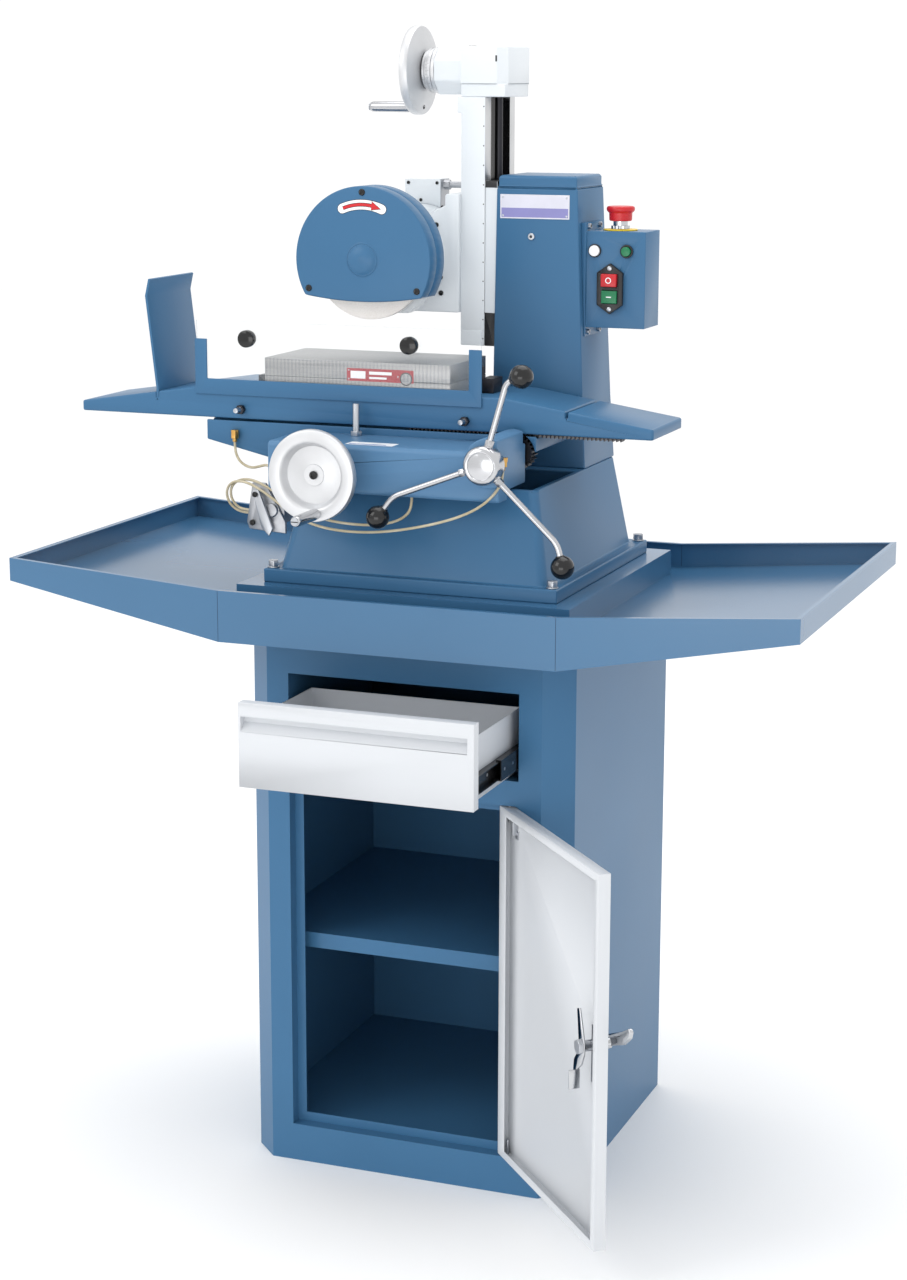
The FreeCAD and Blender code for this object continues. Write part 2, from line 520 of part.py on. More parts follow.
def make_elevation():
    """Handwheel, dial, bevel pair and screw that raise the head."""
    wheel = handwheel(V(ELEV_RIM, SCREW_Y, ELEV_Z), V(1, 0, 0), 24)
    collar = rod_x(SCREW_Y, ELEV_Z, ELEV_RIM + 20, ELEV_RIM + 28, 32)
    dial = rod_x(SCREW_Y, ELEV_Z, ELEV_RIM + 27, -75 - GAP, 35)
    shaft = rod_x(SCREW_Y, ELEV_Z, ELEV_RIM + 20, SCREW_X - BEVEL_R - 3, 9)
    gear = bevel_gear(0.5)
    gear.Placement = FreeCAD.Placement(V(SCREW_X, SCREW_Y, ELEV_Z), FreeCAD.Rotation(V(0, 0, 1), V(1, 0, 0)))
    grip_base = V(ELEV_RIM, SCREW_Y, ELEV_Z - GRIP_RADIUS)
    pin = crank_pin(grip_base, V(-1, 0, 0))
    save("elevating_handwheel", joined([wheel, collar, dial, shaft, gear, pin]))
    save("elevating_grip", crank_grip(grip_base, V(-1, 0, 0)))
    screw = rod_z(SCREW_X, SCREW_Y, 1256, ELEV_Z - BEVEL_R, SCREW_R)
    crown = bevel_gear(0)
    crown.Placement = FreeCAD.Placement(V(SCREW_X, SCREW_Y, ELEV_Z), FreeCAD.Rotation())
    save("elevating_screw", joined([screw, crown]))


def guard_outline(radius, corner_drop, middle_drop, y):
    """Guard seen from the front: a circle cut off by a shallow bowed bottom edge."""
    a = math.asin(corner_drop / radius)
    left = V(CX - radius * math.cos(a), y, SPINDLE_Z - corner_drop)
    right = V(CX + radius * math.cos(a), y, SPINDLE_Z - corner_drop)
    top = Part.Arc(left, V(CX, y, SPINDLE_Z + radius), right).toShape()
    low = Part.Arc(right, V(CX, y, SPINDLE_Z - middle_drop), left).toShape()
    return Part.Face(Part.Wire([top, low]))


def guard_cup(y0, y1, inner_y0, inner_y1):
    """Half of the wheel guard: 3 mm wall, open below for the wheel."""
    cup = guard_outline(GUARD_R, 54, 62, y0).extrude(V(0, y1 - y0, 0))
    room = guard_outline(GUARD_R - 3, 90, 100, inner_y0).extrude(V(0, inner_y1 - inner_y0, 0))
    return cup.cut(room)


def make_guard():
    y_front, y_seam, y_back = GUARD_Y
    cover = guard_cup(y_front, y_seam, y_front + 3, y_seam + 1)
    dome = turned([(0, -8), (10, -7.4), (18, -5), (24, -1), (25, 1), (0, 1)], V(CX, y_front, SPINDLE_Z), V(0, 1, 0))
    save("guard_cover", joined([cover, dome]))
    body = guard_cup(y_seam, y_back, y_seam - 1, y_back - 4)
    save("wheel_guard", body.cut(rod_y(CX, SPINDLE_Z, y_back - 6, y_back + 1, 30)))


def make_head():
    """Motor and spindle housing on the slide's left face, its end cover and inner pieces."""
    y0, y1 = GUARD_Y[2], MOTOR_END
    keep = box(CX - FLANGE_R, CX + FLANGE_R, y0, y0 + 24, SPINDLE_Z - 82, SPINDLE_Z + FLANGE_R)
    flange = rod_y(CX, SPINDLE_Z, y0, y0 + 24, FLANGE_R).common(keep)
    barrel = rod_y(CX, SPINDLE_Z, y0 + 20, y1, MOTOR_R)
    outline = [(CX, 1293), (SLIDE_X[0], 1293), (SLIDE_X[0], 1472), (-43, 1472), (-46, 1469), (-46, 1454),
               (-60, 1448), (-76, 1436), (CX, 1436)]
    block = prism(outline, "y", 41, 150)
    head = joined([flange, barrel, block])
    bore = MOTOR_R - 8
    head = head.cut(rod_y(CX, SPINDLE_Z, y0 + 35, y1 + 1, bore))
    head = head.cut(rod_y(CX, SPINDLE_Z, y0 + 15, y0 + 36, 26))
    head = head.cut(rod_y(CX, SPINDLE_Z, y0 - 1, y0 + 16, 18))
    cover = rod_y(CX, SPINDLE_Z, y1, y1 + 10, MOTOR_R)
    cover = joined([cover, rod_y(CX, SPINDLE_Z, y1 - 20, y1 + 1, bore)])
    cover = cover.cut(rod_y(CX, SPINDLE_Z, y1 - 21, y1 - 5, 26))
    save("head_casting", head, cover)
    stator = rod_y(CX, SPINDLE_Z, 20, 125, bore).cut(rod_y(CX, SPINDLE_Z, 19, 126, 40.4))
    bearings = []
    for y in (y0 + 15, y1 - 20):
        race = rod_y(CX, SPINDLE_Z, y, y + 15, 26)
        bearings.append(race.cut(rod_y(CX, SPINDLE_Z, y - 1, y + 16, SPINDLE_R + FIT)))
    save("motor_internals", stator, *bearings)
    make_terminal_box(joined([barrel, block]))


def make_terminal_box(head):
    terminal = box(CX - 29, CX + 31, 131, 169, SPINDLE_Z + 60, SPINDLE_Z + 110).cut(head)
    y, z = 149, SPINDLE_Z + 101
    gland = hexagon(V(CX + 31, y, z), V(1, 0, 0), 14, 10)
    conduit = rod_x(y, z, CX + 40, SLIDE_X[0], 5)
    save("terminal_box", joined([terminal, gland, conduit]))


def make_spindle():
    y = WHEEL_Y
    back = y + WHEEL_T
    shaft = joined([rod_y(CX, SPINDLE_Z, y - 18, MOTOR_END - 5.4, SPINDLE_R), rod_y(CX, SPINDLE_Z, 25, 120, 39.8)])
    save("spindle_rotor", shaft)
    wheel = rod_y(CX, SPINDLE_Z, y, back, WHEEL_R)
    save("grinding_wheel", wheel.cut(rod_y(CX, SPINDLE_Z, y - 1, back + 1, WHEEL_BORE)))
    adapter = joined([rod_y(CX, SPINDLE_Z, y - 1, back + 1, WHEEL_BORE), rod_y(CX, SPINDLE_Z, back, back + 10, 38)])
    adapter = adapter.cut(rod_y(CX, SPINDLE_Z, y - 2, back + 11, SPINDLE_R))
    outer = rod_y(CX, SPINDLE_Z, y - 9, y, 38).cut(rod_y(CX, SPINDLE_Z, y - 1, y + 1, WHEEL_BORE))
    outer = outer.cut(rod_y(CX, SPINDLE_Z, y - 10, y, SPINDLE_R))
    nut = hexagon(V(CX, y - 18, SPINDLE_Z), V(0, 1, 0), 32, 9).cut(rod_y(CX, SPINDLE_Z, y - 20, y, SPINDLE_R))
    save("wheel_flanges", adapter, outer, nut)


# ======================= saddle, apron and table =======================
def base_room():
    """Space kept free in the saddle and apron for the base's key and its feed nut."""
    low = SADDLE_LOW - 1
    key = box(KEY_X[0] - GAP, KEY_X[1] + GAP, APRON_STEP - 1, SADDLE_Y[1] + 1, low, WAY_Z + KEY_H + GAP)
    nut = box(CROSS_X - 14, CROSS_X + 14, NUT_Y[0] - 24, -12, low, CROSS_Z + 15)
    return key.fuse(nut)


def make_saddle():
    (x0, x1), (y0, y1) = SADDLE_X, SADDLE_Y
    low = SADDLE_LOW
    outline = [(x0, SADDLE_TOP), (x0, 1104), (x0 + 66, 1089), (x0 + 126, 1076), (x0 + 151, low),
               (60, low), (118, 1103), (x1, 1112), (x1, SADDLE_TOP)]
    body = prism(outline, "y", y0, y1)
    rails = [box(x0, x1, *y, SADDLE_TOP - 1, GROOVE_TOP - 0.3) for y in RAILS_Y]
    body = joined([body] + rails).cut(base_room())
    rack_way = box(x0 - 1, x1 + 1, PINION_Y[0] - 1.5, PINION_Y[1] + 1.5, SADDLE_TOP - 2.5, SADDLE_TOP + 1)
    body = body.cut(rack_way)
    room = PINION_R + RACK_MODULE + 1.5
    body = body.cut(rod_y(CAP_X, CAP_Z, y0 - 1, PINION_Y[1] + 1.5, room))
    save("saddle", body)


def make_apron():
    """Box in front of the saddle that carries both hand controls."""
    rear = SADDLE_Y[0]
    outline = [(APRON_FRONT, APRON_LOW), (APRON_FRONT, APRON_TOP), (rear, APRON_TOP), (rear, SADDLE_LOW),
               (APRON_STEP, SADDLE_LOW), (APRON_STEP, APRON_LOW)]
    body = prism(outline, "x", *APRON_X)
    body = rounded(body, 8, lambda e: runs_along(e, V(1, 0, 0)) and e.BoundBox.YMax < APRON_FRONT + 1)
    boss = rod_y(CAP_X, CAP_Z, CAP_HUB_Y[1] + 3, rear - 10, 36)
    boss = boss.common(box(60, APRON_X[1], -300, rear, 1060, 1200))
    body = joined([body, boss]).cut(base_room())
    body = body.cut(rod_y(CROSS_X, CROSS_Z, APRON_FRONT - 1, rear + 1, FEED_R + FIT))
    body = body.cut(rod_y(CAP_X, CAP_Z, CAP_HUB_Y[1], rear + 1, FEED_R + FIT))
    pin_x, pin_y = -111, -154
    body = body.cut(rod_z(pin_x, pin_y, APRON_TOP - 10, APRON_TOP + 1, 5))
    save("apron", body)
    stud = rod_z(pin_x, pin_y, APRON_TOP - 10, 1172, 5)
    nut = hexagon(V(pin_x, pin_y, APRON_TOP), V(0, 0, 1), 16, 7)
    save("table_stop_pin", joined([stud, nut]))


def hose_fitting(x, y, z):
    """Brass elbow: hexagonal body with a short tail that the hose pushes onto."""
    return joined([hexagon(V(x, y, z + 5), V(0, 0, 1), 11, 13), rod_z(x, y, z, z + 6, 3.5)])


def make_oil_fittings():
    """Brass fittings at the ends of the oil hoses and their mounting arms."""
    x, y, z = LEFT_HOSE[0]
    left = joined([hose_fitting(x, y, z), rod_y(x, z + 12, y, SADDLE_Y[0], 3.5)])
    x, y, z = RIGHT_HOSE[-1]
    right = joined([hose_fitting(x, y, z), box(APRON_X[1], x, y - 3, APRON_FRONT + 18, z + 9, z + 16)])
    save("oil_fittings", left, right)


def make_cross_feed():
    wheel = handwheel(V(CROSS_X, CROSS_RIM, CROSS_Z), V(0, 1, 0), APRON_FRONT - GAP - CROSS_RIM)
    dial = rod_y(CROSS_X, CROSS_Z, CROSS_RIM + 36, APRON_FRONT - GAP, 24)
    angle = math.radians(-81.6)
    grip_base = V(CROSS_X + GRIP_RADIUS * math.cos(angle), CROSS_RIM, CROSS_Z + GRIP_RADIUS * math.sin(angle))
    save("cross_handwheel", joined([wheel, dial, crank_pin(grip_base, V(0, -1, 0))]))
    save("cross_grip", crank_grip(grip_base, V(0, -1, 0)))
    save("cross_feed_screw", rod_y(CROSS_X, CROSS_Z, APRON_FRONT - GAP, -15, FEED_R))


# Each arm of the capstan: where it bends and where its ball's centre is, from the hub's axis.
ARMS = (((34.6, 120.2), (56.2, 127.9)), ((-138.5, -52.9), (-161.9, -84.1)), ((111.4, -105.8), (119.5, -138.3)))


def arm_points(knee, end):
    y = sum(CAP_HUB_Y) / 2
    return V(CAP_X, y, CAP_Z), V(CAP_X + knee[0], y, CAP_Z + knee[1]), V(CAP_X + end[0], y, CAP_Z + end[1])


def arm_tip(knee, end):
    """Last stretch of an arm, which goes half way into its ball."""
    hub, bend, tip = arm_points(knee, end)
    return Part.makeCylinder(ARM_R, (tip - bend).Length - BALL_R / 2, bend, tip - bend)


def bent_arm(knee, end):
    """Round rod from the hub through its bend to a ball knob, in the hub's mid plane."""
    hub, bend, tip = arm_points(knee, end)
    first = bend - hub
    start = hub + first * (20 / first.Length)
    inner = Part.makeCylinder(ARM_R, (bend - start).Length, start, first)
    collar = Part.makeCylinder(ARM_R + 2, 14, start, first)
    return joined([inner, Part.makeSphere(ARM_R, bend), arm_tip(knee, end), collar])


def make_capstan():
    y0, y1 = CAP_HUB_Y
    r, deep = CAP_HUB_R, y1 - y0
    hub = turned([(0, 0), (20, 0), (21, 1.5), (25, 1.5), (r, 5), (r, deep - 2), (r - 2, deep), (0, deep)],
                 V(CAP_X, y0, CAP_Z), V(0, 1, 0))
    arms = [bent_arm(knee, end) for knee, end in ARMS]
    save("capstan_hub", joined([hub] + arms))
    balls = []
    for knee, end in ARMS:
        balls.append(Part.makeSphere(BALL_R, arm_points(knee, end)[2]).cut(arm_tip(knee, end)))
    save("capstan_knobs", *balls)
    save("capstan_shaft", joined([rod_y(CAP_X, CAP_Z, y1, PINION_Y[1] + 1, FEED_R), make_pinion()]))


def make_pinion():
    """Spur pinion with a tooth space straight up, in mesh with the rack."""
    m, pitch = RACK_MODULE, 2 * math.pi / PINION_TEETH
    gear = [rod_y(CAP_X, CAP_Z, *PINION_Y, PINION_R - 1.25 * m)]
    radii = (PINION_R - 1.4 * m, PINION_R, PINION_R + 0.9 * m)
    halves = (0.29 * pitch, 0.19 * pitch, 0.10 * pitch)
    for i in range(PINION_TEETH):
        middle = math.pi / 2 + (i + 0.5) * pitch
        side = [(r, middle - h) for r, h in zip(radii, halves)]
        other = [(r, middle + h) for r, h in zip(radii, halves)]
        corners = [(CAP_X + r * math.cos(a), CAP_Z + r * math.sin(a)) for r, a in side + other[::-1]]
        gear.append(prism(corners, "y", *PINION_Y))
    return joined(gear)


def make_rack():
    """Straight toothed bar under the table, with a tooth over the pinion's axis."""
    m = RACK_MODULE
    step = math.pi * m
    pitch_z = CAP_Z + PINION_R
    rack = [box(*RACK_X, *PINION_Y, pitch_z + 1.25 * m, GROOVE_TOP)]
    before = int((CAP_X - RACK_X[0] - 3) / step)
    after = int((RACK_X[1] - CAP_X - 3) / step)
    for i in range(-before, after + 1):
        x = CAP_X + i * step
        rack.append(prism([(x - 0.27 * step, pitch_z + 1.4 * m), (x - 0.10 * step, pitch_z - 0.9 * m),
                           (x + 0.10 * step, pitch_z - 0.9 * m), (x + 0.27 * step, pitch_z + 1.4 * m)],
                          "y", *PINION_Y))
    save("table_rack", joined(rack))


def make_table():
    (y0, y1), half, knee = TABLE_Y, TABLE_HALF, TABLE_KNEE
    outline = [(CX - half, TABLE_BOTTOM), (CX - half, TABLE_TIP), (CX - knee, TABLE_TOP), (CX + knee, TABLE_TOP),
               (CX + half, TABLE_TIP), (CX + half, TABLE_BOTTOM)]
    body = prism(outline, "y", y0, y1)
    body = rounded(body, 5, lambda e: runs_along(e, V(0, 0, 1)))
    grooves = [(lo - 0.3, hi + 0.3) for lo, hi in RAILS_Y] + [(-72, -38)]
    for groove_y in grooves:
        body = body.cut(box(CX - half + 30, CX + half - 20, *groove_y, TABLE_BOTTOM - 1, GROOVE_TOP))
    body = body.cut(box(*RACK_X, *PINION_Y, TABLE_BOTTOM - 1, GROOVE_TOP))
    for side in (-1, 1):
        slot_x = CX + side * (knee + 99)
        body = body.cut(box(slot_x - 2, slot_x + 2, y0 - 1, y1 + 1, 1162, TABLE_TOP + 1))
    save("table", body)


def make_table_guards():
    y1 = TABLE_Y[0]
    plate = box(-383, 82, y1 - 3, y1, 1173, 1257)
    plate = plate.cut(box(-363, 62, y1 - 4, y1 + 1, 1197, 1258))
    save("front_guard", plate)
    x = CX - TABLE_KNEE - 99
    bend = [(x - 2, 1162), (x - 2, 1178), (x - 18, 1318), (x - 12, 1344), (x - 8.5, 1343), (x - 14, 1318),
            (x + 2, 1178), (x + 2, 1162)]
    save("deflector_plate", prism(bend, "y", y1 + 1, TABLE_Y[1] - 1))
    shield_y = (y1 + 0.3, y1 + 2.7)
    shield = box(-381, 80, *shield_y, TABLE_TOP + 0.4, 1285)
    pieces = []
    for knob_x in (-293, -30):
        shield = shield.cut(rod_y(knob_x, 1260, y1, y1 + 6, 4))
        stem = rod_y(knob_x, 1260, y1 - 12, shield_y[1], 4)
        pieces.append(joined([rod_y(knob_x, 1260, y1 - 14, y1 + 0.3, 13), stem]))
    save("clear_shield", shield, *pieces)


def make_chuck():
    """Permanent-magnet chuck with its end clamp and its switch socket."""
    x0, x1 = CX - CHUCK_L / 2, CX + CHUCK_L / 2
    y0, y1 = CHUCK_FRONT, CHUCK_FRONT + CHUCK_W
    chuck = box(x0, x1, y0, y1, TABLE_TOP, TABLE_TOP + CHUCK_H)
    socket_x, socket_z, socket_r = -39.0, 1209.0, 8.0
    chuck = chuck.cut(rod_y(socket_x, socket_z, y0 - 1, y0 + 10, socket_r + FIT))
    save("magnetic_chuck", chuck)
    cam = rod_y(socket_x, socket_z, y0 + 0.3, y0 + 9.7, socket_r)
    save("chuck_switch", cam.cut(hexagon(V(socket_x, y0 - 1, socket_z), V(0, 1, 0), 8, 9)))


def make_table_hardware():
    """Chuck clamp, gauge block with its post, and the two stop dogs on the table's front."""
    chuck_left = CX - CHUCK_L / 2
    clamp = box(chuck_left - 12, chuck_left, -131, -111, TABLE_TOP, TABLE_TOP + 17)
    block = joined([box(62, 82, -89, -49, TABLE_TOP, TABLE_TOP + 22), box(63, 67, -88, -84, 1208, 1228)])
    pieces = [clamp, block]
    for dog_x in (-307.0, 56.0):
        screw = rod_y(dog_x, 1152, TABLE_Y[0] - 22, TABLE_Y[0], 4)
        pieces.append(joined([screw, hexagon(V(dog_x, TABLE_Y[0] - 8, 1152), V(0, 1, 0), 13, 8)]))
    save("table_hardware", *pieces)


# ======================= oil pump and hoses =======================
PUMP_Y = -189.0


def make_oil_pump():
    y0 = PUMP_Y
    plate = prism([(-266, 1050), (-244, 1050), (-212, 992), (-212, 975), (-272, 979), (-276, 990)], "y", y0, y0 + 5)
    body = box(-266, -216, y0 + 5, y0 + 36, 990, 1042)
    barrel = rod_y(-234, 1010, y0 - 5, y0 + 6, 10)
    side_port = rod_x(y0 + 15, 1003, -276, -265, 6)
    top_port = rod_z(-232, y0 + 14, 1040, 1048, 4)
    bracket = box(-222, APRON_X[0], y0 + 14, y0 + 36, 1036, 1112)
    body = joined([plate, body, barrel, side_port, top_port, bracket])
    body = body.cut(rod_y(-256, 1034, y0 - 8, y0 + 4, 3 + FIT))
    save("oil_pump", body)
    lever = prism([(-261, 1040), (-251, 1042), (-228, 984), (-234, 972), (-246, 984)], "y", y0 - 12, y0 - 8)
    save("pump_lever", joined([lever, rod_y(-256, 1034, y0 - 12, y0 + 3.6, 3)]))


# Routes of the oil hoses, from one end to the other.
LEFT_HOSE = [(-316, -143.5, 1103), (-316, -143.5, 1089.5), (-310, -145, 1076.5), (-298, -149, 1068.5),
             (-282, -154.5, 1066), (-266, -160.5, 1070.5), (-252, -166.5, 1074.5), (-240, -171.5, 1070.5),
             (-233, -174.6, 1060), (-232, -175, 1048)]
MID_HOSE = [(-276, -175.5, 1005.5), (-288, -175.5, 1005.5), (-299, -177, 1010.5), (-305.5, -180, 1022),
            (-305, -184, 1036), (-296, -189, 1048), (-280, -194, 1055), (-260, -199, 1055.5),
            (-234, -207, 1048.5), (-205, -218, 1036), (-176, -231, 1024.5), (-146, -240, 1015),
            (-112, -243, 1009), (-76, -243, 1006.5), (-44, -242, 1007.5), (-16, -240, 1013), (3, -237.5, 1023),
            (11, -236, 1037.5), (11, -236, 1052)]
RIGHT_HOSE = [(-276, -172.5, 1000.5), (-289, -172.5, 1000.5), (-302, -174, 1005), (-311, -177.5, 1015.5),
              (-313, -182, 1030), (-306, -188.5, 1043), (-292, -195.5, 1051.5), (-270, -203, 1053),
              (-240, -213, 1043.5), (-210, -225, 1030), (-180, -237, 1015.5), (-148, -245, 1004),
              (-112, -249, 998), (-74, -250, 996.5), (-34, -250, 999), (8, -250, 1006), (50, -250.5, 1016),
              (90, -252, 1029), (120, -254, 1044), (140, -255.5, 1060), (153, -254.5, 1077), (157.5, -254, 1092),
              (157.5, -254, 1101)]


def hose(route):
    """Tube of straight runs and tangent arcs through the route's corners."""
    points = [V(*p) for p in route]
    edges, radii, start = [], [], points[0]
    for before, corner, after in zip(points, points[1:], points[2:]):
        into, out = corner - before, after - corner
        reach = 0.45 * min(into.Length, out.Length)
        turn = into.getAngle(out)
        radius = reach / math.tan(turn / 2)
        radii.append(round(radius, 1))
        into.normalize()
        out.normalize()
        bisector = out - into
        bisector.normalize()
        middle = corner + bisector * (radius / math.cos(turn / 2) - radius)
        edges.append(Part.LineSegment(start, corner - into * reach).toShape())
        edges.append(Part.Arc(corner - into * reach, middle, corner + out * reach).toShape())
        start = corner + out * reach
    edges.append(Part.LineSegment(start, points[-1]).toShape())
    path = Part.Wire(edges)
    section = Part.Wire([Part.makeCircle(HOSE_R, points[0], points[1] - points[0])])
    tube = path.makePipeShell([section], True, False)
    expected = math.pi * HOSE_R ** 2 * path.Length
    print("hose", round(path.Length, 1), "mm, volume ratio", round(tube.Volume / expected, 4), "radii", radii)
    return tube


def make_hoses():
    save("oil_hose_left", hose(LEFT_HOSE))
    save("oil_hose_mid", hose(MID_HOSE))
    save("oil_hose_right", hose(RIGHT_HOSE))


# ======================= control box =======================
LAMP_X, RESET_X, LAMP_Z = 187.0, 237.0, 1391.0
BUTTON_Z = (SWITCH_Z + 13, SWITCH_Z - 12)


def button_room(z, y0, y1, spare):
    """Rectangle of one press button, grown by spare."""
    w, h = BUTTON_HALF
    return box(SWITCH_X - w - spare, SWITCH_X + w + spare, y0, y1, z - h - spare, z + h + spare)


def make_control_box():
    (x0, x1), (y0, y1), (z0, z1) = BOX_X, BOX_Y, BOX_Z
    shell = box(x0, x1, y0, y1, z0, z1)
    shell = shell.cut(box(x0 + SHEET, x1 - SHEET, y0 + SHEET, y1 - SHEET, z0 + SHEET, z1 - SHEET))
    mount = box(COL_LEVELS[2][2], x0, y0 - 5, y1 + 5, z0 - 14, z1 + 12).cut(column_body(0))
    shell = joined([shell, mount])
    shell = shell.cut(rod_y(RESET_X, LAMP_Z, y0 - 1, y0 + SHEET + 1, 7 + FIT))
    for z in BUTTON_Z:
        shell = shell.cut(button_room(z, y0 - 1, y0 + SHEET + 1, FIT))
    save("control_box", shell.cut(rod_z(STOP_X, STOP_Y, z1 - SHEET - 1, z1 + 1, STOP_R + FIT)))


def make_controls():
    y0, z1 = BOX_Y[0], BOX_Z[1]
    side, top = 20, 38
    corners = [(-side, 24), (0, top), (side, 24), (side, -24), (0, -top), (-side, -24)]
    bezel = prism([(SWITCH_X + a, SWITCH_Z + b) for a, b in corners], "y", y0 - 7, y0)
    for z in BUTTON_Z:
        bezel = bezel.cut(button_room(z, y0 - 8, y0 + 1, FIT))
    lamp = joined([rod_y(LAMP_X, LAMP_Z, y0 - 3, y0, 10), rod_y(LAMP_X, LAMP_Z, y0 - 6, y0 - 2, 8)])
    ring = rod_y(RESET_X, LAMP_Z, y0 - 3, y0, 10).cut(rod_y(RESET_X, LAMP_Z, y0 - 4, y0 + 1, 7 + FIT))
    collar = rod_z(STOP_X, STOP_Y, z1, z1 + 2, 26).cut(rod_z(STOP_X, STOP_Y, z1 - 1, z1 + 3, STOP_R + FIT))
    save("control_fittings", bezel, lamp, ring, collar)
    save("stop_button", button_room(BUTTON_Z[0], y0 - 13, y0 + SHEET, 0))
    save("start_button", button_room(BUTTON_Z[1], y0 - 10, y0 + SHEET, 0))
    save("reset_button", rod_y(RESET_X, LAMP_Z, y0 - 8, y0 + SHEET, 7))
    r = STOP_R
    mushroom = turned([(0, -10), (r, -10), (r, 15), (19, 17), (22, 23), (22, 29), (18, 34), (8, 36), (0, 36)],
                      V(STOP_X, STOP_Y, z1), V(0, 0, 1))
    save("emergency_stop", mushroom)


make_cabinet_shell()
make_cabinet_panels()
make_drawer()
make_door()
make_trays()
make_pad()
make_base()
make_lead_nuts()
make_column()
make_guide()
make_slide()
make_gearbox()
make_elevation()
make_guard()
make_head()
make_spindle()
make_saddle()
make_apron()
make_oil_fittings()
make_cross_feed()
make_capstan()
make_table()
make_rack()
make_table_guards()
make_chuck()
make_table_hardware()
make_oil_pump()
make_hoses()
make_control_box()
make_controls()
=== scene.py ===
"""Looks of the surface grinder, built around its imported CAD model. Metres, in the model's own frame."""
import bmesh
import bpy
import json
import math
from mathutils import Matrix, Vector

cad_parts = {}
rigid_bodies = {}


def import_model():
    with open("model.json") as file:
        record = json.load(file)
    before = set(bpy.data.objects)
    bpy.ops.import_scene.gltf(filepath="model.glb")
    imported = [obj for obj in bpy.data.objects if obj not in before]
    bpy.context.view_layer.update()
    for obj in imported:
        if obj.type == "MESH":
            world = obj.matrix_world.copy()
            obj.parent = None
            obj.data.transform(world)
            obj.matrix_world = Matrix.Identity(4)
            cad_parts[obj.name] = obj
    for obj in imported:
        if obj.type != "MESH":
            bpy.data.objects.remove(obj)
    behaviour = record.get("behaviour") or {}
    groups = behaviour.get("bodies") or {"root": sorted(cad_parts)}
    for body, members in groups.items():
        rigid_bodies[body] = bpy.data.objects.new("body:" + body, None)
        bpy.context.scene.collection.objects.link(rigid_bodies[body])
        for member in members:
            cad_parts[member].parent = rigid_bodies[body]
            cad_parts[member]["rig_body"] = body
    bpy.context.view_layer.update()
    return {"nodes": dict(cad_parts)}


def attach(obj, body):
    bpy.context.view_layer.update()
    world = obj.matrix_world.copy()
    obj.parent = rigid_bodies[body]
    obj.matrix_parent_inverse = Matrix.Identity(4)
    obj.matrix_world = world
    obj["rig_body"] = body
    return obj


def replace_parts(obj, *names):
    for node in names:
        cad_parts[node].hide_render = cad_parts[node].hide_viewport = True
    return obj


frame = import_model()

NODES = frame["nodes"]
MM = 0.001

FRONT, BACK, LEFT, RIGHT, UP = (0, -1, 0), (0, 1, 0), (-1, 0, 0), (1, 0, 0), (0, 0, 1)

# Places in the CAD model that pieces are drawn round, in millimetres.
WHEEL_X, WHEEL_Z = -119, 1380              # grinding spindle
GUARD_FRONT = -109                         # y of the guard cover's face
CROSS_CENTRE = (-116, -311, 1085)          # middle of the cross handwheel's rim plane
LIFT_CENTRE = (-121, 103, 1655)            # the same for the elevating handwheel
GRIP_REACH = 55                            # from a handwheel's axis to its grip
CAPSTAN_X, CAPSTAN_Z = 136, 1110           # axis of the capstan
ARM_PLANE = -276                           # y of the capstan's bent arms
CHUCK_FRONT = -134
SWITCH_X, SWITCH_Z = -39, 1209             # switch in the chuck's front
STOP_X, STOP_Y, BOX_TOP = 215, 101, 1420   # emergency stop on the control box
BUTTON_X = 212.5
RAIL_HOLE_Z = 678.5

TIP = 0.05                                 # radius at which a turned profile is closed
NOISE_LOW, NOISE_HIGH = 0.3, 0.7           # where most of a noise's values lie


# ======================= materials =======================
FINE = 0.0002                              # depth of grain and scratches, metres
TOOL_PITCH = 0.0006                        # distance between turned tool marks, metres


def linear(r, g, b):
    """sRGB 0-255 to a linear colour."""
    def channel(v):
        v /= 255
        return v / 12.92 if v <= 0.04045 else ((v + 0.055) / 1.055) ** 2.4
    return channel(r), channel(g), channel(b), 1.0


def scaled(colour, factor):
    return tuple(min(1.0, c * factor) for c in colour[:3]) + (1.0,)


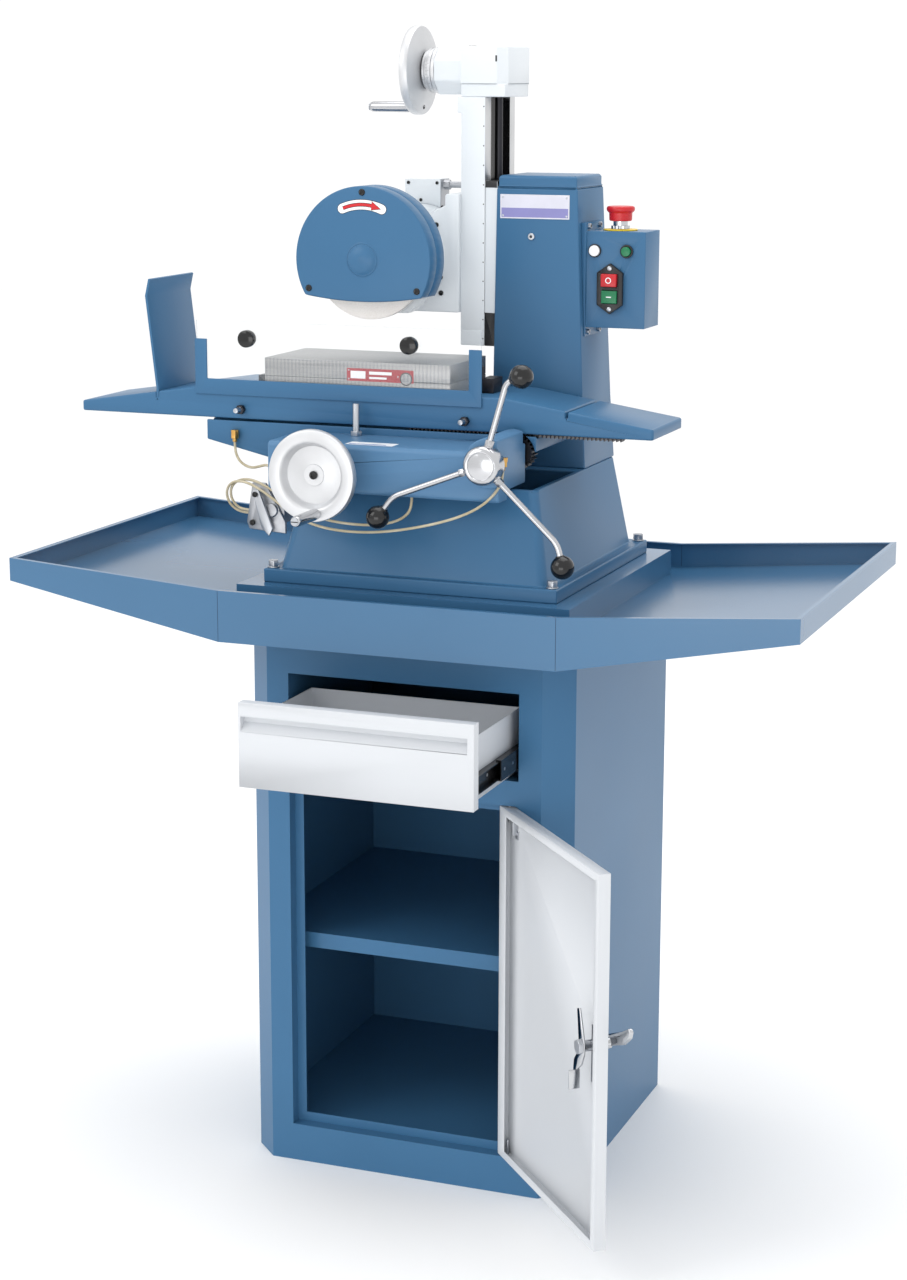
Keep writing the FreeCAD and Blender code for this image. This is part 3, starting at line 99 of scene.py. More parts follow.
class Graph:
    """A new node material, and short ways to add nodes to it."""

    def __init__(self, name):
        self.material = bpy.data.materials.new(name)
        self.material.use_nodes = True
        self.tree = self.material.node_tree
        self.shader = self.tree.nodes["Principled BSDF"]
        self.coords = self.add("ShaderNodeTexCoord").outputs["Object"]

    def add(self, kind, **settings):
        """Add a node; each setting is the value of one of its inputs, or else one of its properties."""
        node = self.tree.nodes.new(kind)
        for key, value in settings.items():
            if key in node.inputs:
                node.inputs[key].default_value = value
            else:
                setattr(node, key, value)
        return node

    def link(self, a, b):
        self.tree.links.new(a, b)

    def noise(self, scale, stretch=(1, 1, 1), detail=3.0):
        mapping = self.add("ShaderNodeMapping", Scale=stretch)
        self.link(self.coords, mapping.inputs["Vector"])
        node = self.add("ShaderNodeTexNoise", Scale=scale, Detail=detail)
        self.link(mapping.outputs["Vector"], node.inputs["Vector"])
        return node.outputs["Fac"]

    def colour(self, factor, dark, light, low=NOISE_LOW, high=NOISE_HIGH):
        """Base colour that goes from dark to light while the factor goes from low to high."""
        node = self.add("ShaderNodeValToRGB")
        for element, place, colour in zip(node.color_ramp.elements, (low, high), (dark, light)):
            element.position = place
            element.color = colour
        self.link(factor, node.inputs["Fac"])
        self.link(node.outputs["Color"], self.shader.inputs["Base Color"])

    def mottled(self, factor, colour, spread):
        self.colour(factor, scaled(colour, 1 - spread), scaled(colour, 1 + spread))

    def roughness(self, factor, low, high):
        node = self.add("ShaderNodeMapRange")
        ends = {"From Min": NOISE_LOW, "From Max": NOISE_HIGH, "To Min": low, "To Max": high}
        for socket, value in ends.items():
            node.inputs[socket].default_value = value
        self.link(factor, node.inputs["Value"])
        self.link(node.outputs["Result"], self.shader.inputs["Roughness"])

    def bump(self, height, strength, distance, before=None):
        node = self.add("ShaderNodeBump", Strength=strength, Distance=distance)
        self.link(height, node.inputs["Height"])
        if before is not None:
            self.link(before, node.inputs["Normal"])
        return node.outputs["Normal"]

    def normal(self, socket):
        self.link(socket, self.shader.inputs["Normal"])

    def set(self, **sockets):
        for key, value in sockets.items():
            self.shader.inputs[key.replace("_", " ")].default_value = value


def painted(name, colour, rough=0.34, mottle=0.03, cast=0.0, coat=0.0, shine=0.25):
    """Sprayed paint: faint colour drift, orange peel, and the sand-cast waviness beneath it."""
    g = Graph(name)
    g.mottled(g.noise(5.0, detail=4.0), colour, mottle)
    g.roughness(g.noise(3.0, detail=1.0), rough - 0.03, rough + 0.03)
    normal = g.bump(g.noise(260.0, detail=1.0), 0.02, 0.0004)
    if cast:
        normal = g.bump(g.noise(45.0, detail=2.0), cast, 0.0012, normal)
    g.normal(normal)
    g.set(Specular_IOR_Level=shine, Coat_Weight=coat, Coat_Roughness=0.15)
    return g.material


def metal(name, colour, rough, stretch=(1, 1, 1), grain=900.0, scratch=0.12, spread=0.10, mottle=0.08):
    """Machined metal. The stretch draws the grain out along an axis: a small number makes it long."""
    g = Graph(name)
    lines = g.noise(grain, stretch, detail=4.0)
    g.mottled(g.noise(14.0), colour, mottle)
    g.roughness(lines, rough, rough + spread)
    g.normal(g.bump(lines, scratch, FINE))
    g.set(Metallic=1.0)
    return g.material


def lathe_turned(name, colour, rough, centre, axis):
    """Turned metal: fine circular tool marks round an axis through centre."""
    g = Graph(name)
    shift = g.add("ShaderNodeMapping")
    shift.inputs["Location"].default_value = [-c for c in centre]
    g.link(g.coords, shift.inputs["Vector"])
    flat = g.add("ShaderNodeVectorMath", operation="MULTIPLY")
    flat.inputs[1].default_value = [0.0 if a else 1.0 for a in axis]
    g.link(shift.outputs["Vector"], flat.inputs[0])
    radius = g.add("ShaderNodeVectorMath", operation="LENGTH")
    g.link(flat.outputs["Vector"], radius.inputs[0])
    step = g.add("ShaderNodeMath", operation="MULTIPLY")
    step.inputs[1].default_value = 1.0 / TOOL_PITCH
    g.link(radius.outputs["Value"], step.inputs[0])
    rings = g.add("ShaderNodeTexNoise", noise_dimensions="1D", Scale=1.0, Detail=3.0)
    g.link(step.outputs["Value"], rings.inputs["W"])
    g.colour(g.noise(18.0), scaled(colour, 0.95), scaled(colour, 1.04))
    g.roughness(rings.outputs["Fac"], rough - 0.06, rough + 0.10)
    g.normal(g.bump(rings.outputs["Fac"], 0.15, FINE))
    g.set(Metallic=1.0)
    return g.material


def plastic(name, colour, rough, bump=0.06):
    """Moulded plastic or a print: smooth, with a fine grain."""
    g = Graph(name)
    g.mottled(g.noise(30.0), colour, 0.04)
    g.roughness(g.noise(150.0), rough - 0.04, rough + 0.06)
    g.normal(g.bump(g.noise(700.0), bump, FINE))
    return g.material


def laminated(name):
    """Side of a permanent-magnet chuck: upright steel laminations and lengthwise grinding marks."""
    g = Graph(name)
    wave = g.add("ShaderNodeTexWave", wave_type="BANDS", bands_direction="X", Scale=52.0, Distortion=0.0)
    g.link(g.coords, wave.inputs["Vector"])
    marks = g.noise(420.0, (0.02, 1.0, 1.0))
    mix = g.add("ShaderNodeMath", operation="MULTIPLY_ADD")
    mix.inputs[1].default_value = 0.30
    g.link(wave.outputs["Fac"], mix.inputs[0])
    g.link(marks, mix.inputs[2])
    g.colour(mix.outputs["Value"], linear(132, 132, 134), linear(170, 169, 168), high=0.9)
    g.roughness(marks, 0.30, 0.46)
    g.normal(g.bump(marks, 0.10, FINE))
    g.set(Metallic=0.85)
    return g.material


def abrasive(name):
    """White aluminium oxide: matt and gritty."""
    g = Graph(name)
    grit = g.noise(1400.0, detail=6.0)
    g.colour(grit, linear(220, 214, 208), linear(246, 243, 240), 0.35, 0.6)
    g.set(Roughness=0.92)
    g.normal(g.bump(grit, 0.6, 0.0006))
    return g.material


def clear_sheet(name, colour, alpha):
    """Clear acrylic: only its alpha makes it transparent."""
    g = Graph(name)
    g.roughness(g.noise(25.0), 0.04, 0.08)
    g.set(Base_Color=colour, Alpha=alpha)
    return g.material


def tube(name):
    """Translucent nylon hose with oil in it."""
    g = Graph(name)
    g.colour(g.noise(35.0), linear(190, 176, 140), linear(222, 212, 186))
    g.roughness(g.noise(90.0), 0.3, 0.38)
    g.set(Transmission_Weight=0.25, IOR=1.45)
    return g.material


BLUE = linear(61, 106, 143)
WHITE = linear(206, 209, 213)
# Each roughness range lies wholly above 0.28 or wholly below 0.27: one that crosses them is denoised
# into dark blotches.
M = {
    "blue_sheet": painted("blue_sheet_paint", BLUE),
    "blue_tray": painted("blue_tray_paint", BLUE, 0.23, coat=0.2, shine=0.5),
    "blue_cast": painted("blue_casting_paint", BLUE, cast=0.04),
    # The apron's paint is the same blue as the castings, drawn lighter: a painted sheen that stands for
    # the glossy reflection its front catches.
    "blue_apron_painted_sheen": painted("blue_paint_with_painted_sheen", linear(84, 124, 160), cast=0.04),
    "blue_dark": painted("blue_shadow_gap", linear(28, 50, 78), 0.5),
    "white_sheet": painted("white_sheet_paint", WHITE, 0.34, mottle=0.015),
    "white_cast": painted("white_casting_paint", linear(221, 226, 230), 0.34, mottle=0.02, cast=0.04),
    "black_paint": painted("black_gloss_paint", linear(22, 22, 24), 0.23, mottle=0.1, shine=0.5),
    "zinc": metal("zinc_plate", linear(186, 189, 194), 0.29, spread=0.12),
    "ground": metal("ground_steel", linear(176, 178, 181), 0.29, (1.0, 1.0, 0.04), scratch=0.2),
    "dark_steel": metal("blackened_steel", linear(58, 58, 62), 0.35),
    "bright_way": metal("scraped_way", linear(205, 206, 207), 0.3, (1.0, 1.0, 0.05), scratch=0.2),
    "bronze": metal("bronze", linear(182, 132, 74), 0.32),
    "brass": metal("brass", linear(214, 168, 96), 0.29),
    "die_cast": metal("die_cast_zinc", linear(178, 180, 184), 0.42, grain=300.0, scratch=0.3),
    "chrome": metal("chrome_plate", linear(196, 198, 201), 0.07, spread=0.05, scratch=0.03, mottle=0.02),
    "satin_rod": metal("satin_rod", linear(186, 187, 190), 0.17, spread=0.08, scratch=0.05),
    "black": plastic("black_phenolic", linear(14, 14, 15), 0.12, bump=0.02),
    "black_matt": plastic("black_nylon", linear(30, 30, 32), 0.42),
    "red": plastic("red_plastic", linear(196, 26, 36), 0.33),
    "green": plastic("green_plastic", linear(14, 118, 74), 0.33),
    "yellow": plastic("yellow_plastic", linear(240, 205, 40), 0.35),
    "lens": plastic("white_lens", linear(244, 245, 246), 0.15),
    "print_white": plastic("printed_white", linear(240, 241, 242), 0.35),
    "print_pale": plastic("printed_pale", linear(212, 212, 224), 0.35),
    "print_red": plastic("printed_red", linear(200, 24, 34), 0.35),
    "print_blue": plastic("printed_blue", linear(32, 86, 170), 0.35),
    "print_violet": plastic("printed_violet", linear(134, 132, 186), 0.35),
    "plate_red": painted("red_label_plate", linear(168, 36, 44), 0.35, mottle=0.08),
    "plate_silver": metal("label_silver", linear(208, 208, 216), 0.35),
    "laminated": laminated("laminated_steel"),
    "abrasive": abrasive("white_abrasive"),
    "clear": clear_sheet("clear_acrylic", linear(236, 243, 246), 0.07),
    "clear_edge": clear_sheet("clear_acrylic_edge", linear(206, 214, 220), 0.6),
    "tube": tube("nylon_tube"),
}
CROSS_AXIS = (-0.116, -0.30, 1.085)
LIFT_AXIS = (-0.12, 0.103, 1.655)
CAPSTAN_AXIS = (0.136, -0.276, 1.110)
ALUMINIUM = linear(212, 213, 215)
M["wheel_front"] = lathe_turned("turned_aluminium_front", ALUMINIUM, 0.46, CROSS_AXIS, BACK)
M["wheel_top"] = lathe_turned("turned_aluminium_top", ALUMINIUM, 0.46, LIFT_AXIS, RIGHT)
M["hub_face"] = lathe_turned("turned_hub", linear(196, 197, 200), 0.15, CAPSTAN_AXIS, BACK)


# ======================= mesh helpers =======================
WELD = 2e-6                                # metres: vertices this close become one
FLAT_ANGLE = 0.6                           # degrees: faces that meet at less become one
EDGE_ANGLE = 34                            # degrees: edges sharper than this are rounded


def piece(name, bm, material, body, angle=32):
    """Turn a bmesh into an object that rides on a body, shaded smooth up to an angle in degrees."""
    bmesh.ops.recalc_face_normals(bm, faces=bm.faces)
    mesh = bpy.data.meshes.new(name)
    bm.to_mesh(mesh)
    bm.free()
    for polygon in mesh.polygons:
        polygon.use_smooth = True
    mesh.set_sharp_from_angle(angle=math.radians(angle))
    obj = bpy.data.objects.new(name, mesh)
    bpy.context.scene.collection.objects.link(obj)
    mesh.materials.append(M[material])
    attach(obj, body)
    return obj


def facing(origin, axis):
    """Matrix that takes +Z to axis and the origin to a point given in millimetres."""
    turn = Vector(UP).rotation_difference(Vector(axis)).to_matrix().to_4x4()
    return Matrix.Translation(Vector(origin) * MM) @ turn


def rings(bm, stack, origin, axis, segments=64, closed=True):
    """Surface through rings (radius or radius(angle), distance), in millimetres."""
    place = facing(origin, axis)
    loops = []
    for radius, distance in stack:
        loop = []
        for i in range(segments):
            a = 2 * math.pi * i / segments
            r = radius(a) if callable(radius) else radius
            loop.append(bm.verts.new(place @ (Vector((r * math.cos(a), r * math.sin(a), distance)) * MM)))
        loops.append(loop)
    for low, high in zip(loops, loops[1:]):
        for i in range(segments):
            j = (i + 1) % segments
            bm.faces.new((low[i], low[j], high[j], high[i]))
    if closed:
        bm.faces.new(loops[0])
        bm.faces.new(loops[-1])
    return bm


def hexed(flats):
    """Radius of a hexagon, as a function of angle."""
    def radius(a):
        return flats / 2 / math.cos((a + math.pi / 6) % (math.pi / 3) - math.pi / 6)
    return radius


def cap_screw(bm, origin, axis, r, h):
    """Socket head of radius r and height h: bevelled rim and a hexagonal recess."""
    socket = hexed(r * 1.05)
    rings(bm, [(r, -0.5), (r, h - 0.15 * r), (r - 0.15 * r, h), (r * 0.66, h), (socket, h - 0.04 * r),
               (socket, h - 0.7 * h), (TIP, h - 0.8 * h)], origin, axis, 24)


def slab(bm, lo, hi, bevel=0.0, segments=2):
    """Box between two corners in millimetres, its edges rounded."""
    made = bmesh.ops.create_cube(bm, size=1.0)
    lo, hi = Vector(lo) * MM, Vector(hi) * MM
    size, middle = hi - lo, (hi + lo) / 2
    for v in made["verts"]:
        v.co = Vector([v.co[i] * size[i] + middle[i] for i in range(3)])
    if bevel:
        edges = list(dict.fromkeys(e for v in made["verts"] for e in v.link_edges))
        bmesh.ops.bevel(bm, geom=edges, offset=bevel * MM, segments=segments, profile=0.5, affect="EDGES")
    return bm


def plate(bm, points, origin, u, v, thick):
    """Flat outline (a, b) in millimetres, laid along u and v from origin and raised by thick."""
    u, v = Vector(u).normalized(), Vector(v).normalized()
    n = u.cross(v)
    base = Vector(origin)
    low = [bm.verts.new((base + u * a + v * b) * MM) for a, b in points]
    top = [bm.verts.new((base + u * a + v * b + n * thick) * MM) for a, b in points]
    bm.faces.new(top)
    bm.faces.new(low[::-1])
    for i in range(len(points)):
        j = (i + 1) % len(points)
        bm.faces.new((low[i], low[j], top[j], top[i]))
    return bm


def sweep(bm, points, r, segments=24):
    """Round bar along points in millimetres."""
    path = [Vector(p) for p in points]
    frame_u = None
    loops = []
    for i, p in enumerate(path):
        along = (path[min(i + 1, len(path) - 1)] - path[max(i - 1, 0)]).normalized()
        if frame_u is None:
            frame_u = along.orthogonal().normalized()
        frame_u = (frame_u - along * frame_u.dot(along)).normalized()
        w = along.cross(frame_u)
        loops.append([bm.verts.new((p + (frame_u * math.cos(a) + w * math.sin(a)) * r) * MM)
                      for a in (2 * math.pi * k / segments for k in range(segments))])
    for low, high in zip(loops, loops[1:]):
        for k in range(segments):
            j = (k + 1) % segments
            bm.faces.new((low[k], low[j], high[j], high[k]))
    bm.faces.new(loops[0])
    bm.faces.new(loops[-1])


def cleaned(node, keep=None):
    """CAD node as a bmesh of large flat faces. keep(centre in mm) picks the faces that stay."""
    bm = bmesh.new()
    bm.from_mesh(NODES[node].data)
    bmesh.ops.remove_doubles(bm, verts=bm.verts, dist=WELD)
    if keep:
        drop = [f for f in bm.faces if not keep(f.calc_center_median() / MM)]
        bmesh.ops.delete(bm, geom=drop, context="FACES")
    bmesh.ops.dissolve_limit(bm, angle_limit=math.radians(FLAT_ANGLE), verts=bm.verts, edges=bm.edges)
    return bm


def soften(node, material, width, paint=(), segments=2):
    """Copy of a CAD node with rounded edges, which then stands for it.

    paint is a list of (material, test): faces whose centre in mm passes the test get that material.
    """
    obj = piece(node + "_finish", cleaned(node), material, NODES[node]["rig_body"], angle=180)
    for extra, test in paint:
        obj.data.materials.append(M[extra])
        index = len(obj.data.materials) - 1
        for polygon in obj.data.polygons:
            if test(Vector(polygon.center) / MM):
                polygon.material_index = index
    bevel = obj.modifiers.new("edges", "BEVEL")
    bevel.width = width * MM
    bevel.segments = segments
    bevel.limit_method = "ANGLE"
    bevel.angle_limit = math.radians(EDGE_ANGLE)
    bevel.use_clamp_overlap = False
    bevel.harden_normals = True
    bevel.miter_outer = "MITER_ARC"
    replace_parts(obj, node)


def dress(node, material):
    """Give a CAD node that stays its procedural material."""
    mesh = NODES[node].data
    if not mesh.materials:
        mesh.materials.append(M[material])
    for i in range(len(mesh.materials)):
        mesh.materials[i] = M[material]


# ======================= oil hoses =======================
LEFT_HOSE = [
    (-316, -143.5, 1103), (-316, -143.5, 1089.5), (-310, -145, 1076.5), (-298, -149, 1068.5),
    (-282, -154.5, 1066), (-266, -160.5, 1070.5), (-252, -166.5, 1074.5), (-240, -171.5, 1070.5),
    (-233, -174.6, 1060), (-232, -175, 1048)
]
MID_HOSE = [
    (-276, -175.5, 1005.5), (-288, -175.5, 1005.5), (-299, -177, 1010.5), (-305.5, -180, 1022),
    (-305, -184, 1036), (-296, -189, 1048), (-280, -194, 1055), (-260, -199, 1055.5),
    (-234, -207, 1048.5), (-205, -218, 1036), (-176, -231, 1024.5), (-146, -240, 1015),
    (-112, -243, 1009), (-76, -243, 1006.5), (-44, -242, 1007.5), (-16, -240, 1013), (3, -237.5, 1023),
    (11, -236, 1037.5), (11, -236, 1052)
]
RIGHT_HOSE = [
    (-276, -172.5, 1000.5), (-289, -172.5, 1000.5), (-302, -174, 1005), (-311, -177.5, 1015.5),
    (-313, -182, 1030), (-306, -188.5, 1043), (-292, -195.5, 1051.5), (-270, -203, 1053),
    (-240, -213, 1043.5), (-210, -225, 1030), (-180, -237, 1015.5), (-148, -245, 1004),
    (-112, -249, 998), (-74, -250, 996.5), (-34, -250, 999), (8, -250, 1006), (50, -250.5, 1016),
    (90, -252, 1029), (120, -254, 1044), (140, -255.5, 1060), (153, -254.5, 1077), (157.5, -254, 1092),
    (157.5, -254, 1101)
]


def hose(name, route, node):
    curve = bpy.data.curves.new(name, "CURVE")
    curve.dimensions = "3D"
    spline = curve.splines.new("NURBS")
    spline.points.add(len(route) - 1)
    for point, place in zip(spline.points, route):
        point.co = (*[c * MM for c in place], 1.0)
    spline.order_u = 3
    spline.use_endpoint_u = True
    spline.resolution_u = 8
    curve.bevel_depth = 0.002
    curve.bevel_resolution = 5
    curve.use_fill_caps = True
    curve.materials.append(M["tube"])
    obj = bpy.data.objects.new(name, curve)
    bpy.context.scene.collection.objects.link(obj)
    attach(obj, "cross_slide")
    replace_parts(obj, node)


hose("hose_left", LEFT_HOSE, "oil_hose_left")
hose("hose_middle", MID_HOSE, "oil_hose_mid")
hose("hose_right", RIGHT_HOSE, "oil_hose_right")


# ======================= camera =======================
# A long lens, seen from the right, a little above the table.
camera_data = bpy.data.cameras.new("camera")
camera_data.lens = 72.8
camera_data.sensor_width = 36.0
camera = bpy.data.objects.new("camera", camera_data)
camera.location = (1.397, -3.671, 1.652)
camera.rotation_euler = (math.radians(77.63), math.radians(-0.13), math.radians(21.06))
bpy.context.scene.collection.objects.link(camera)
bpy.context.scene.camera = camera


# ======================= cabinet, trays and pad =======================
for node in ("cabinet_shell", "cabinet_panels"):
    dress(node, "blue_sheet")
for node in ("machine_pad", "centre_tray", "left_wing", "right_wing"):
    dress(node, "blue_tray")
for node in ("drawer_inner_rails", "drawer_mid_rails", "drawer_outer_rails"):
    dress(node, "black_paint")
soften("drawer", "white_sheet", 0.9)
soften("door_panel", "white_sheet", 0.7)
soften("door_fittings", "zinc", 0.5)
soften("latch_handle", "chrome", 0.8)
soften("base_bolts", "zinc", 0.6)

DOOR_HINGE = (0.168, -0.243, 0)            # metres
DOOR_OPEN = 131.7                          # degrees the door stands open at rest


def on_door(bm):
    """Turn a mesh drawn on the closed door out to where the door stands open."""
    turn = Matrix.Rotation(math.radians(DOOR_OPEN), 4, "Z")
    hinge = Matrix.Translation(DOOR_HINGE)
    bmesh.ops.transform(bm, matrix=hinge @ turn @ hinge.inverted(), verts=bm.verts)
    return bm


nut = rings(bmesh.new(), [(8.1, 9.2), (hexed(19), 9.2), (hexed(19), 14.5), (9, 15.2), (8.1, 15.2)],
            (-149, -231, 352), BACK, 48)
piece("latch_nut", on_door(nut), "zinc", "latch")
flange = slab(bmesh.new(), (-139.5, -225.5, 287), (-136.8, -209, 315), 0.9)
piece("latch_hook_flange", on_door(flange), "chrome", "latch")
spring = bmesh.new()
slab(spring, (147, -247.4, 566), (152, -239, 597), 0.8)
slab(spring, (143, -247.4, 560), (154, -245.6, 571), 0.4)
rings(spring, [(TIP, 0), (1.6, 0), (1.6, 38), (TIP, 38)], (155.5, -243, 563), UP, 20)
piece("door_spring_pin", on_door(spring), "zinc", "door")

# ======================= castings =======================
soften("base_casting", "blue_cast", 2.0)
soften("column", "blue_cast", 2.5, segments=3)
soften("saddle", "blue_cast", 1.5)
# The apron gets the lighter blue: painted sheen, not a different paint.
soften("apron", "blue_apron_painted_sheen", 2.0, segments=3)
soften("table", "blue_cast", 2.5, segments=3)
soften("front_guard", "blue_sheet", 0.8)
soften("deflector_plate", "blue_sheet", 0.6)
soften("table_hardware", "dark_steel", 0.8, [("zinc", lambda c: c.y < -145.2)])
soften("table_stop_pin", "zinc", 0.6)
soften("oil_fittings", "brass", 0.6)
soften("oil_pump", "die_cast", 1.2)
soften("pump_lever", "zinc", 0.8)
screws = bmesh.new()
cap_screw(screws, (-266, -189, 989), FRONT, 4.4, 3.4)
piece("pump_screw", screws, "black", "cross_slide")
screws = bmesh.new()
cap_screw(screws, (-256, -201, 1034), FRONT, 4.2, 2.6)
piece("pump_lever_screw", screws, "black", "oil_lever")
soften("head_casting", "white_cast", 1.5)
soften("terminal_box", "white_cast", 1.2, [("die_cast", lambda c: c.x > -88)])
soften("gearbox_housing", "white_cast", 1.8)
soften("wheel_guard", "blue_cast", 1.0)
soften("guard_cover", "blue_cast", 2.0, segments=3)
soften("control_box", "blue_sheet", 0.9)


def in_groove(c):
    return -0.5 < c.x < 15.9 and 66 < c.y < 167


def on_way(c):
    return abs(c.x - 16) < 0.2


def on_guide_end(c):
    return c.z > 1482.2 or c.z < 1293.8


soften("vertical_slide", "white_cast", 1.0,
       [("bright_way", on_way), ("black_paint", in_groove)])
soften("column_guide", "white_cast", 0.6, [("black_matt", on_guide_end)])
dress("lead_nuts", "bronze")
dress("motor_internals", "ground")
dress("spindle_rotor", "ground")
dress("wheel_flanges", "zinc")
dress("elevating_screw", "dark_steel")
dress("cross_feed_screw", "ground")
dress("capstan_shaft", "dark_steel")
dress("table_rack", "dark_steel")
dress("chuck_switch", "zinc")


# ======================= handwheels =======================
RIM = [
    (TIP, 12.6), (15.5, 12.6), (16, 13.6), (17, 14), (42, 14.2), (44.5, 11), (46.5, 4), (49, 1.0),
    (52, 0), (63.5, 0), (66, 1.0), (67, 3.2), (67, 11.8), (66, 14), (63.5, 15), (50, 17), (44, 20),
    (21, 22)
]


def handwheel(name, origin, axis, dial, material, node, body):
    """Dished wheel with its hub and dial, as one turned piece."""
    bm = rings(bmesh.new(), RIM + dial + [(TIP, dial[-1][1])], origin, axis, 120)
    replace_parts(piece(name, bm, material, body), node)


LIFT_DIAL = [
    (20, 23), (29, 23.2), (30, 24), (30, 27.5), (29, 28), (29, 29), (33, 29.2), (33.6, 30),
    (33.6, 38.5), (32.6, 39), (32.6, 39.8), (34.4, 40), (35, 40.6), (35, 45), (34.4, 45.6)
]
CROSS_DIAL = [
    (20, 24), (20, 36), (23.4, 36.2), (24, 37), (24, 51), (23, 51.8), (23, 53), (24, 53.4), (24, 58.6),
    (23.4, 59.6)
]
handwheel("lift_wheel", LIFT_CENTRE, RIGHT, LIFT_DIAL, "wheel_top", "elevating_handwheel",
          "elevation_wheel")
handwheel("cross_wheel", CROSS_CENTRE, BACK, CROSS_DIAL, "wheel_front", "cross_handwheel", "cross_wheel")
shaft = cleaned("elevating_handwheel", keep=lambda c: c.x > -73)
piece("lift_shaft", shaft, "ground", "elevation_wheel")

TICK_WIDTH = 0.35


def ticks(bm, origin, axis, radius, near, far, count):
    """Engraved lines round a dial, every fifth one longer."""
    place = facing(origin, axis)
    for i in range(count):
        a = 2 * math.pi * i / count
        end = far if i % 5 == 0 else near + (far - near) * 0.6
        across = Vector((-math.sin(a), math.cos(a), 0)) * TICK_WIDTH / 2
        out = Vector((math.cos(a), math.sin(a), 0))
        corners = []
        for r in (radius - 0.3, radius + 0.04):
            for d, side in ((near, -1), (near, 1), (end, 1), (end, -1)):
                corners.append(bm.verts.new(place @ ((out * r + across * side + Vector((0, 0, d))) * MM)))
        low, top = corners[:4], corners[4:]
        bm.faces.new(top)
        bm.faces.new(low[::-1])
        for k in range(4):
            bm.faces.new((low[k], low[(k + 1) % 4], top[(k + 1) % 4], top[k]))


marks = bmesh.new()
ticks(marks, LIFT_CENTRE, RIGHT, 33.6, 31, 37, 100)
piece("lift_dial_marks", marks, "black_matt", "elevation_wheel")
marks = bmesh.new()
ticks(marks, CROSS_CENTRE, BACK, 24, 43, 50, 50)
piece("cross_dial_marks", marks, "black_matt", "cross_wheel")

SLEEVE = [
    (3, 0.4), (7.3, 0.4), (8.3, 1.6), (8.5, 4), (8.2, 40), (8.0, 66), (7.6, 69.5), (6.6, 71.2),
    (5.5, 71.5), (3, 71.5), (3, 0.4)
]
PIN = [(2.95, -8), (2.95, 71.9), (5.6, 72), (6, 72.6), (6, 73.4), (5.5, 74)]
SLOT_LENGTH, SLOT_WIDTH, SLOT_DEPTH, SLOT_HEIGHT = 11.2, 1.4, 0.4, 74.02


def crank(prefix, origin, outward, grip_node, grip_body, wheel_body):
    """Grip of a handwheel: turning sleeve, and the fixed pin with its slotted head."""
    sleeve = rings(bmesh.new(), SLEEVE, origin, outward, 48, False)
    grip = piece(prefix + "_grip_sleeve", sleeve, "satin_rod", grip_body)
    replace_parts(grip, grip_node)
    pin = rings(bmesh.new(), PIN, origin, outward, 40)
    piece(prefix + "_grip_pin", pin, "zinc", wheel_body)
    place = facing(origin, outward)
    slot = bmesh.new()
    for v in bmesh.ops.create_cube(slot, size=1.0)["verts"]:
        local = Vector((v.co.x * SLOT_LENGTH, v.co.y * SLOT_WIDTH, v.co.z * SLOT_DEPTH + SLOT_HEIGHT))
        v.co = place @ (local * MM)
    piece(prefix + "_grip_slot", slot, "black_matt", wheel_body)


lean = math.radians(-81.6)
crank("cross", (CROSS_CENTRE[0] + GRIP_REACH * math.cos(lean), CROSS_CENTRE[1],
                CROSS_CENTRE[2] + GRIP_REACH * math.sin(lean)),
      FRONT, "cross_grip", "cross_sleeve", "cross_wheel")
crank("lift", (LIFT_CENTRE[0], LIFT_CENTRE[1], LIFT_CENTRE[2] - GRIP_REACH),
      LEFT, "elevating_grip", "elevation_sleeve", "elevation_wheel")

screws = bmesh.new()
cap_screw(screws, (CROSS_CENTRE[0], -298.6, CROSS_CENTRE[2]), FRONT, 6.2, 3)
piece("cross_wheel_screw", screws, "black", "cross_wheel")
screws = bmesh.new()
cap_screw(screws, (-108.6, LIFT_CENTRE[1], LIFT_CENTRE[2]), LEFT, 6.2, 3)
cap_screw(screws, (-105, LIFT_CENTRE[1], LIFT_CENTRE[2] - GRIP_REACH), RIGHT, 3.6, 0.8)
piece("lift_wheel_screws", screws, "black", "elevation_wheel")

# ======================= capstan =======================
# Knee and end of each bent arm, from the capstan's axis.
ARMS = (
    ((34.6, 120.2), (56.2, 127.9)),
    ((-138.5, -52.9), (-161.9, -84.1)),
    ((111.4, -105.8), (119.5, -138.3)),
)
ARM_RADIUS, KNEE_REACH, KNEE_STEPS = 4.5, 12, 8
ARM_START, NUT_START = 24, 26
NUT = [(6.5, 0), (6.6, 3), (6.0, 4), (hexed(11), 4.2), (hexed(11), 11), (5.2, 12), (4.4, 12.2)]
BALL_RADIUS, BALL_STEPS, BALL_FROM, BALL_SPAN = 17, 26, -66, 156
BALL = [(4.6, -17.2), (6.0, -17.2), (6.4, -16.2)]
for k in range(BALL_STEPS):
    a = math.radians(BALL_FROM + BALL_SPAN * k / BALL_STEPS)
    BALL.append((BALL_RADIUS * math.cos(a), BALL_RADIUS * math.sin(a)))
BALL.append((TIP, BALL_RADIUS))

HUB = [
    (TIP, 1.2), (17.5, 1.2), (18.2, 1.6), (19, 1.6), (20, 0.3), (21.5, 0), (24.5, 1.2), (26.6, 3.2),
    (28, 6.5), (28, 25.4), (26.4, 27.4), (24, 28), (TIP, 28)
]
hub = rings(bmesh.new(), HUB, (CAPSTAN_X, -290, CAPSTAN_Z), BACK, 96)
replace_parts(piece("capstan_hub_turned", hub, "hub_face", "capstan"), "capstan_hub")


def on_capstan(p):
    """Point of the arms' plane, given from the capstan's axis."""
    return CAPSTAN_X + p.x, ARM_PLANE, CAPSTAN_Z + p.y


